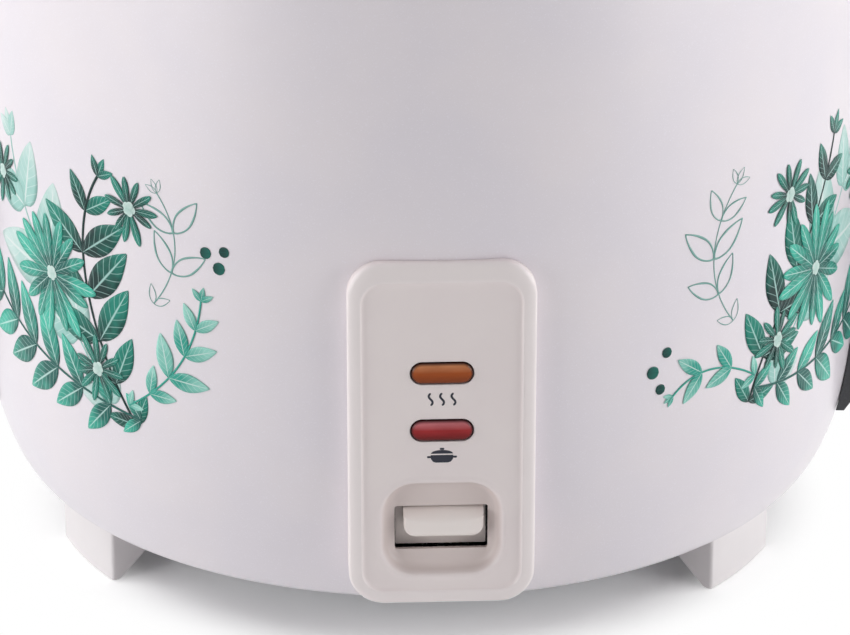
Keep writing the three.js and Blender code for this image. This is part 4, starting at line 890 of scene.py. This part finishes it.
# ---------- Lid ----------
def lid_glass():
    """The domed glass, with a hole for the knob's screw."""
    centre = node_box("lid_glass")[1].z - DOME_RADIUS
    edge = LID_RADIUS - 0.6
    radii = [2.7 + (edge - 2.7) * k / 40 for k in range(41)]
    outer, inner = (
        [(radius, centre + math.sqrt(dome ** 2 - radius ** 2)) for radius in radii]
        for dome in (DOME_RADIUS, DOME_RADIUS - LID_GLASS))
    profile = outer + [(LID_RADIUS, outer[-1][1] - 0.9), (LID_RADIUS, inner[-1][1] + 0.8)] + inner[::-1]
    dress(lathe("lid_dome", profile, 200, 40), "lid", "clear_glass", "lid_glass")


def lid_rim():
    low, high = node_box("lid_rim")
    base, lip, outer = low.z, high.z, high.x
    profile = rounded([
        (outer - 6, base, 0.3), (outer, base, 1.2), (outer, lip, 0.45), (outer - 1, lip, 0.45),
        (outer - 1, base + 1, 0.4), (outer - 6, base + 1, 0.3)])
    dress(lathe("lid_rim_band", profile, 200), "lid", "steel", "lid_rim")


def lid_knob():
    """A waisted stem under a mushroom head, bored for its screw."""
    low, high = node_box("lid_knob")
    base, top, radius = low.z, high.z, high.x
    profile = [(2.7, base + 14), (2.7, base), (10.2, base), (10.9, base + 0.3), (11, base + 1)]
    profile += bezier((11, base + 1.2), (9.2, base + 5), (10.5, base + 11), (radius - 1.4, top - 9.6), 14)
    profile += bezier(
        (radius - 1.2, top - 9.4), (radius + 0.2, top - 8.4), (radius + 0.1, top - 4.4),
        (radius - 2.2, top - 2.8), 10)
    profile += bezier((radius - 2.4, top - 2.7), (radius - 7, top - 0.6), (8, top), (0, top), 14)
    profile.append((0, base + 14))
    dress(lathe("lid_knob_moulding", profile, 128), "lid", "black_plastic", "lid_knob")


# ---------- Leaf print on the drum ----------
def unit_shape(name, half_width, rows=14, cols=6):
    """A flat leaf or petal one unit long, towards +X and facing -Y, with a map along and across it."""
    bm = bmesh.new()
    ink_map = bm.loops.layers.uv.new("ink")
    place = {}

    def point(y, i, k):
        along, across = i / rows, k / cols
        vertex = bm.verts.new((along, y, half_width(along) * (2 * across - 1)))
        place[vertex] = (along, across)
        return vertex

    front, back = (
        [[point(y, i, k) for k in range(cols + 1)] for i in range(rows + 1)] for y in (-0.0003, 0.0003))
    for grid in (front, back):
        for first, second in zip(grid, grid[1:]):
            for k in range(cols):
                bm.faces.new((first[k], second[k], second[k + 1], first[k + 1]))
    border = [(i, 0) for i in range(rows)] + [(rows, k) for k in range(cols)]
    border += [(i, cols) for i in range(rows, 0, -1)] + [(0, k) for k in range(cols, 0, -1)]
    bridge(bm, [front[i][k] for i, k in border], [back[i][k] for i, k in border])
    bmesh.ops.recalc_face_normals(bm, faces=bm.faces)
    map_faces(bm, ink_map, place.get)
    return new_object(name, bm)


def unit_outline(name, half_width, line, steps=18):
    """The bare outline of a petal one unit long, as a flat closed band."""
    there = [(t / steps, half_width(t / steps)) for t in range(steps + 1)]
    around = [Vector(p) for p in there + [(t, -w) for t, w in reversed(there)]]
    middle = Vector((0.55, 0))
    bm = bmesh.new()
    rings = []
    for inward, y in ((0, -0.0005), (line, -0.0005), (line, 0.0005), (0, 0.0005)):
        points = [p + (middle - p).normalized() * inward for p in around]
        rings.append([bm.verts.new((p.x, y, p.y)) for p in points])
    for first, second in zip(rings, rings[1:] + rings[:1]):
        bridge(bm, first, second)
    bmesh.ops.recalc_face_normals(bm, faces=bm.faces)
    return new_object(name, bm)


def blade(foot, breadth, lean, fullness):
    """Half the width of a leaf or ray along it. A lean over one puts its widest place near its tip."""
    return lambda t: foot + breadth * math.sin(math.pi * t ** lean) ** fullness


def dot_width(t):
    return 0.02 + 0.95 * math.sqrt(max(0.0, t * (1 - t)))


def flat_lines(name, lines):
    """Loose points, joined along each line, drawn flat: across the drum along X and up it along Z."""
    bm = bmesh.new()
    for line in lines:
        vertices = [bm.verts.new((x, 0, z)) for x, z in line]
        for pair in zip(vertices, vertices[1:]):
            bm.edges.new(pair)
    return placed(new_object(name, bm))


def scattered(graph, instances):
    """Lays each copy at its own small height, so that those that overlap don't touch, with its own shade."""
    step = graph.math("FRACT", graph.math("MULTIPLY", graph.add("GeometryNodeInputIndex"), GOLDEN_SHARE))
    lift = graph.vector(0.0, graph.math("MULTIPLY", step, -COPY_LIFT))
    lifted = graph.add("GeometryNodeTranslateInstances", instances, None, lift, False)
    return graph.add(
        "GeometryNodeStoreNamedAttribute", lifted, None, "shade", graph.random(0.0, 1.0),
        data_type="FLOAT", domain="INSTANCE")


def on_drum(piece, finish, layer):
    """Wraps a flat print round the drum, over the layers printed before it, as part of the drum."""
    for vertex in piece.data.vertices:
        x, y, z = vertex.co
        radius = drum_radius(z) + INK_LIFT + LAYER_LIFT * layer - y
        angle = x / DRUM_RADIUS
        vertex.co = (radius * math.sin(angle) * MM, -radius * math.cos(angle) * MM, z * MM)
    piece.data.shade_smooth()
    dress(piece, "cooker_body", "pearl_paint", finish=finish)


def sprigs(name, finish, layer, leaf, stems, spacing, size, spread, seed, stalk):
    """Paired leaves along each stem and one at its tip, on a fine stalk."""
    graph = Graph(name, finish, Leaf=leaf, Spacing=spacing, Size=size, Spread=spread, Seed=seed, Stalk=stalk)
    given = graph.given
    curve = graph.add("GeometryNodeMeshToCurve", given["Geometry"])
    points = graph.add("GeometryNodeResampleCurve", curve, None, given["Spacing"], mode="LENGTH")
    swell = graph.math("SINE", graph.math("MULTIPLY_ADD", graph.add("GeometryNodeSplineParameter"), 2.3, 0.5))
    scale = graph.math("MULTIPLY", graph.math("MULTIPLY", swell, given["Size"]), graph.random(0.84, 1.14))
    tangent = graph.add("GeometryNodeInputTangent")
    forward = graph.add("FunctionNodeAlignRotationToVector", None, None, tangent, axis="X", pivot_axis="Y")
    parts = []
    for side in (-1.0, 1.0, 0.0):
        angle = graph.math("MULTIPLY", graph.math("ADD", given["Spread"], graph.random(-0.16, 0.16)), side)
        chosen = None if side else graph.add("GeometryNodeCurveEndpointSelection", 0, 1)
        parts.append(graph.copies(points, chosen, "Leaf", graph.turn_y(forward, angle), scale))
    leaves = scattered(graph, graph.join(*parts))
    ring = graph.add("GeometryNodeCurvePrimitiveCircle", 6, given["Stalk"], mode="RADIUS")
    stalks = graph.add("GeometryNodeCurveToMesh", curve, ring, None, True)
    flattened = graph.add("GeometryNodeTransform", stalks, None, None, (1.0, 0.06, 1.0))
    lines = flat_lines(name, [bezier(*stem, 40) for stem in stems])
    on_drum(graph.run(lines, graph.join(leaves, flattened)), finish, layer)


def rosettes(name, finish, layer, petal, petals, places, size, seed):
    """A ring of petals about each place."""
    graph = Graph(name, finish, Petal=petal, Petals=petals, Size=size, Seed=seed)
    given = graph.given
    centres = graph.add("GeometryNodeMeshToPoints", given["Geometry"])
    repeated = graph.add("GeometryNodeDuplicateElements", centres, None, given["Petals"], domain="POINT")
    step = graph.math("DIVIDE", 2 * math.pi, given["Petals"])
    turn = graph.math("MULTIPLY", repeated.outputs["Duplicate Index"], step)
    wobble = graph.math("ADD", turn, graph.random(-0.1, 0.1))
    still = graph.add("FunctionNodeAxisAngleToRotation", (0.0, 1.0, 0.0), 0.0)
    scale = graph.math("MULTIPLY", given["Size"], graph.random(0.88, 1.12))
    ring = graph.copies(repeated, None, "Petal", graph.turn_y(still, wobble), scale)
    points = flat_lines(name, [[place] for place in places])
    on_drum(graph.run(points, scattered(graph, ring)), finish, layer)


def drum_print():
    """Leafy sprays with daisies, one each side of the panel. A stem is the four points of its curve."""
    leaf_width = blade(0.012, 0.2, 0.85, 0.9)
    leaf = unit_shape("leaf", leaf_width)
    line = unit_outline("leaf_outline", leaf_width, 0.05)
    broad = unit_shape("broad_leaf", blade(0.012, 0.27, 0.7, 0.8))
    ray = unit_shape("ray", blade(0.02, 0.1, 1.5, 0.7), 12, 4)
    dot = unit_shape("dot", dot_width, 12, 8)
    sprigs("pale_sprays", "pale_ink", 0, broad, [
        ((-104, 74), (-116, 96), (-146, 118), (-150, 144)),
        ((112, 74), (122, 100), (152, 114), (160, 142)),
    ], spacing=17.0, size=27.0, spread=0.7, seed=12, stalk=0.4)
    sprigs("line_sprigs", "line_ink", 1, line, [
        ((-86, 110), (-76, 122), (-76, 134), (-84, 144)),
        ((92, 100), (80, 114), (82, 130), (92, 142)),
        ((-166, 88), (-176, 104), (-178, 125), (-168, 138)),
        ((176, 80), (190, 96), (190, 120), (180, 136)),
    ], spacing=10.5, size=14.0, spread=0.75, seed=2, stalk=0.22)
    sprigs("tall_sprigs", "deep_ink", 2, leaf, [
        ((-94, 70), (-112, 96), (-120, 124), (-106, 144)),
        ((100, 72), (108, 98), (134, 116), (142, 143)),
    ], spacing=12.0, size=21.0, spread=0.85, seed=3, stalk=0.5)
    sprigs("low_sprigs", "teal_ink", 3, leaf, [
        ((-92, 72), (-120, 76), (-152, 82), (-180, 104)),
        ((102, 76), (124, 70), (154, 74), (188, 90)),
    ], spacing=11.0, size=19.0, spread=0.8, seed=5, stalk=0.45)
    sprigs("inner_sprigs", "mint_ink", 4, leaf, [
        ((-96, 76), (-80, 86), (-72, 98), (-70, 114)),
        ((102, 80), (90, 88), (78, 90), (70, 82)),
    ], spacing=9.5, size=12.0, spread=0.75, seed=8, stalk=0.35)
    large = [(-128, 108), (132, 104)]
    small = [(-94, 137), (116, 132), (-156, 131), (164, 124), (-108, 84), (112, 88)]
    berries = [(-66, 125), (-70, 129), (-64, 130), (66, 96), (61, 91), (64, 85)]
    rosettes("daisies", "teal_ink", 5, ray, 15, large, size=19.0, seed=4)
    rosettes("small_daisies", "deep_ink", 6, ray, 11, small, size=10.0, seed=9)
    rosettes("daisy_hearts", "heart_ink", 7, dot, 5, large + small, size=2.3, seed=11)
    rosettes("berries", "berry_ink", 2, dot, 1, berries, size=3.6, seed=7)


outer_shell()
drum_print()
control_panel()
lens_marks()
lens("warm_lens", "amber_lens")
lens("cook_lens", "red_lens")
lever_tab()
for place, angle in (("front_left", -60), ("front_right", 60), ("rear", 180)):
    leg(place, angle)
for side, angle in (("right", 90), ("left", -90)):
    handle(side, angle)
inlet_housing()
vessel("inner_liner", "liner", "cooker_body", wall=1.0, corner=10.0, flange=13.0, hole=31.0, lip=0.3)
vessel("inner_pot", "pot", "pot", wall=1.3, corner=16.7, flange=10.0, hole=0.0, lip=0.55)
heating_plate()
sensor_cap()
lid_glass()
lid_rim()
lid_knob()

# ---------- CAD nodes that keep their own shape ----------
SLOTS = {row["node"]: row["material_slot"] for row in frame["record"]["subparts"]}
for name, node in frame["nodes"].items():
    if not node.hide_render:
        node.data.materials.clear()
        node.data.materials.append(MATERIALS[SLOTS[name]])


# ---------- Floor, lamps and camera ----------
def shown_directly(tree):
    """One for camera, glossy and transmission rays, and nought for the light that falls on things."""
    path = tree.add("ShaderNodeLightPath").outputs
    total = path["Is Camera Ray"]
    for label in ("Is Glossy Ray", "Is Transmission Ray"):
        total = tree.add("ShaderNodeMath", total, path[label], operation="ADD", use_clamp=True)
    return total


def floor():
    """White paper that keeps the cooker's shadow near it, and is plain white farther out."""
    bm = bmesh.new()
    bmesh.ops.create_circle(bm, cap_ends=True, radius=3000, segments=96)
    piece = new_piece("floor", bm, closed=False)
    piece.location.z = -0.0002
    material = bpy.data.materials.new("floor_paper")
    material.use_nodes = True
    material.node_tree.nodes.clear()
    paper = Tree(material.node_tree)
    bounce, shown = (
        paper.add("ShaderNodeBsdfDiffuse", (shade, shade, shade, 1)) for shade in (FLOOR_BOUNCE, FLOOR_SHOWN))
    place = paper.add("ShaderNodeTexCoord").outputs["Object"]
    distance = paper.add("ShaderNodeVectorMath", place, operation="LENGTH")
    away = paper.add(
        "ShaderNodeMapRange", distance, SHADOW_REACH, PAPER_START, interpolation_type="SMOOTHSTEP")
    far = paper.add("ShaderNodeMixShader", away, shown, paper.add("ShaderNodeEmission"))
    whole = paper.add("ShaderNodeMixShader", shown_directly(paper), bounce, far)
    paper.add("ShaderNodeOutputMaterial", whole)
    piece.data.materials.append(material)


def world():
    """A dim room that shows as white."""
    studio = bpy.data.worlds.new("studio")
    bpy.context.scene.world = studio
    studio.use_nodes = True
    room = Tree(studio.node_tree)
    background = room.tree.nodes["Background"]
    background.inputs["Color"].default_value = (1, 1, 1, 1)
    strength = room.add("ShaderNodeMapRange", shown_directly(room), 0.0, 1.0, ROOM_LIGHT, 1.0)
    room.link(strength, background.inputs["Strength"])


def outwards(bearing, height):
    """The direction so many degrees round from the cooker's front and up."""
    around, up = math.radians(bearing), math.radians(height)
    return Vector((math.sin(around) * math.cos(up), -math.cos(around) * math.cos(up), math.sin(up)))


def softbox(name, bearing, height, watts):
    """A lamp that faces the cooker's middle from this direction."""
    data = bpy.data.lights.new(name, "AREA")
    data.shape = "RECTANGLE"
    data.size, data.size_y = 0.6, 0.8
    data.energy = watts
    out = outwards(bearing, height)
    light = placed(bpy.data.objects.new(name, data))
    light.location = LAMP_AIM + LAMP_DISTANCE * out
    light.rotation_euler = (-out).to_track_quat("-Z", "Y").to_euler()


def camera():
    """A long lens from a little left of the middle, looking down at the lower front."""
    data = bpy.data.cameras.new("camera")
    data.sensor_width = 36.0
    data.lens = 180.261
    data.clip_start, data.clip_end = 0.05, 20
    holder = placed(bpy.data.objects.new("camera", data))
    holder.location = (-0.05575, -1.2274, 0.57538)
    holder.rotation_mode = "QUATERNION"
    holder.rotation_quaternion = (-outwards(-2.6808, 22.858)).to_track_quat("-Z", "Y")
    bpy.context.scene.camera = holder


floor()
world()
for name, bearing, height, watts in (
        ("left_front_box", -58, 6, 6.8), ("right_front_box", 58, 6, 6.5), ("left_box", -88, 15, 2.1),
        ("right_box", 88, 15, 4.9), ("left_high_box", -100, 38, 5.5), ("right_high_box", 100, 38, 1.0),
        ("front_top_box", 0, 78, 0.9), ("top_box", 180, 72, 1.5), ("back_box", 180, 25, 3.0)):
    softbox(name, bearing, height, watts)
camera()
bpy.context.scene.view_settings.view_transform = "Standard"
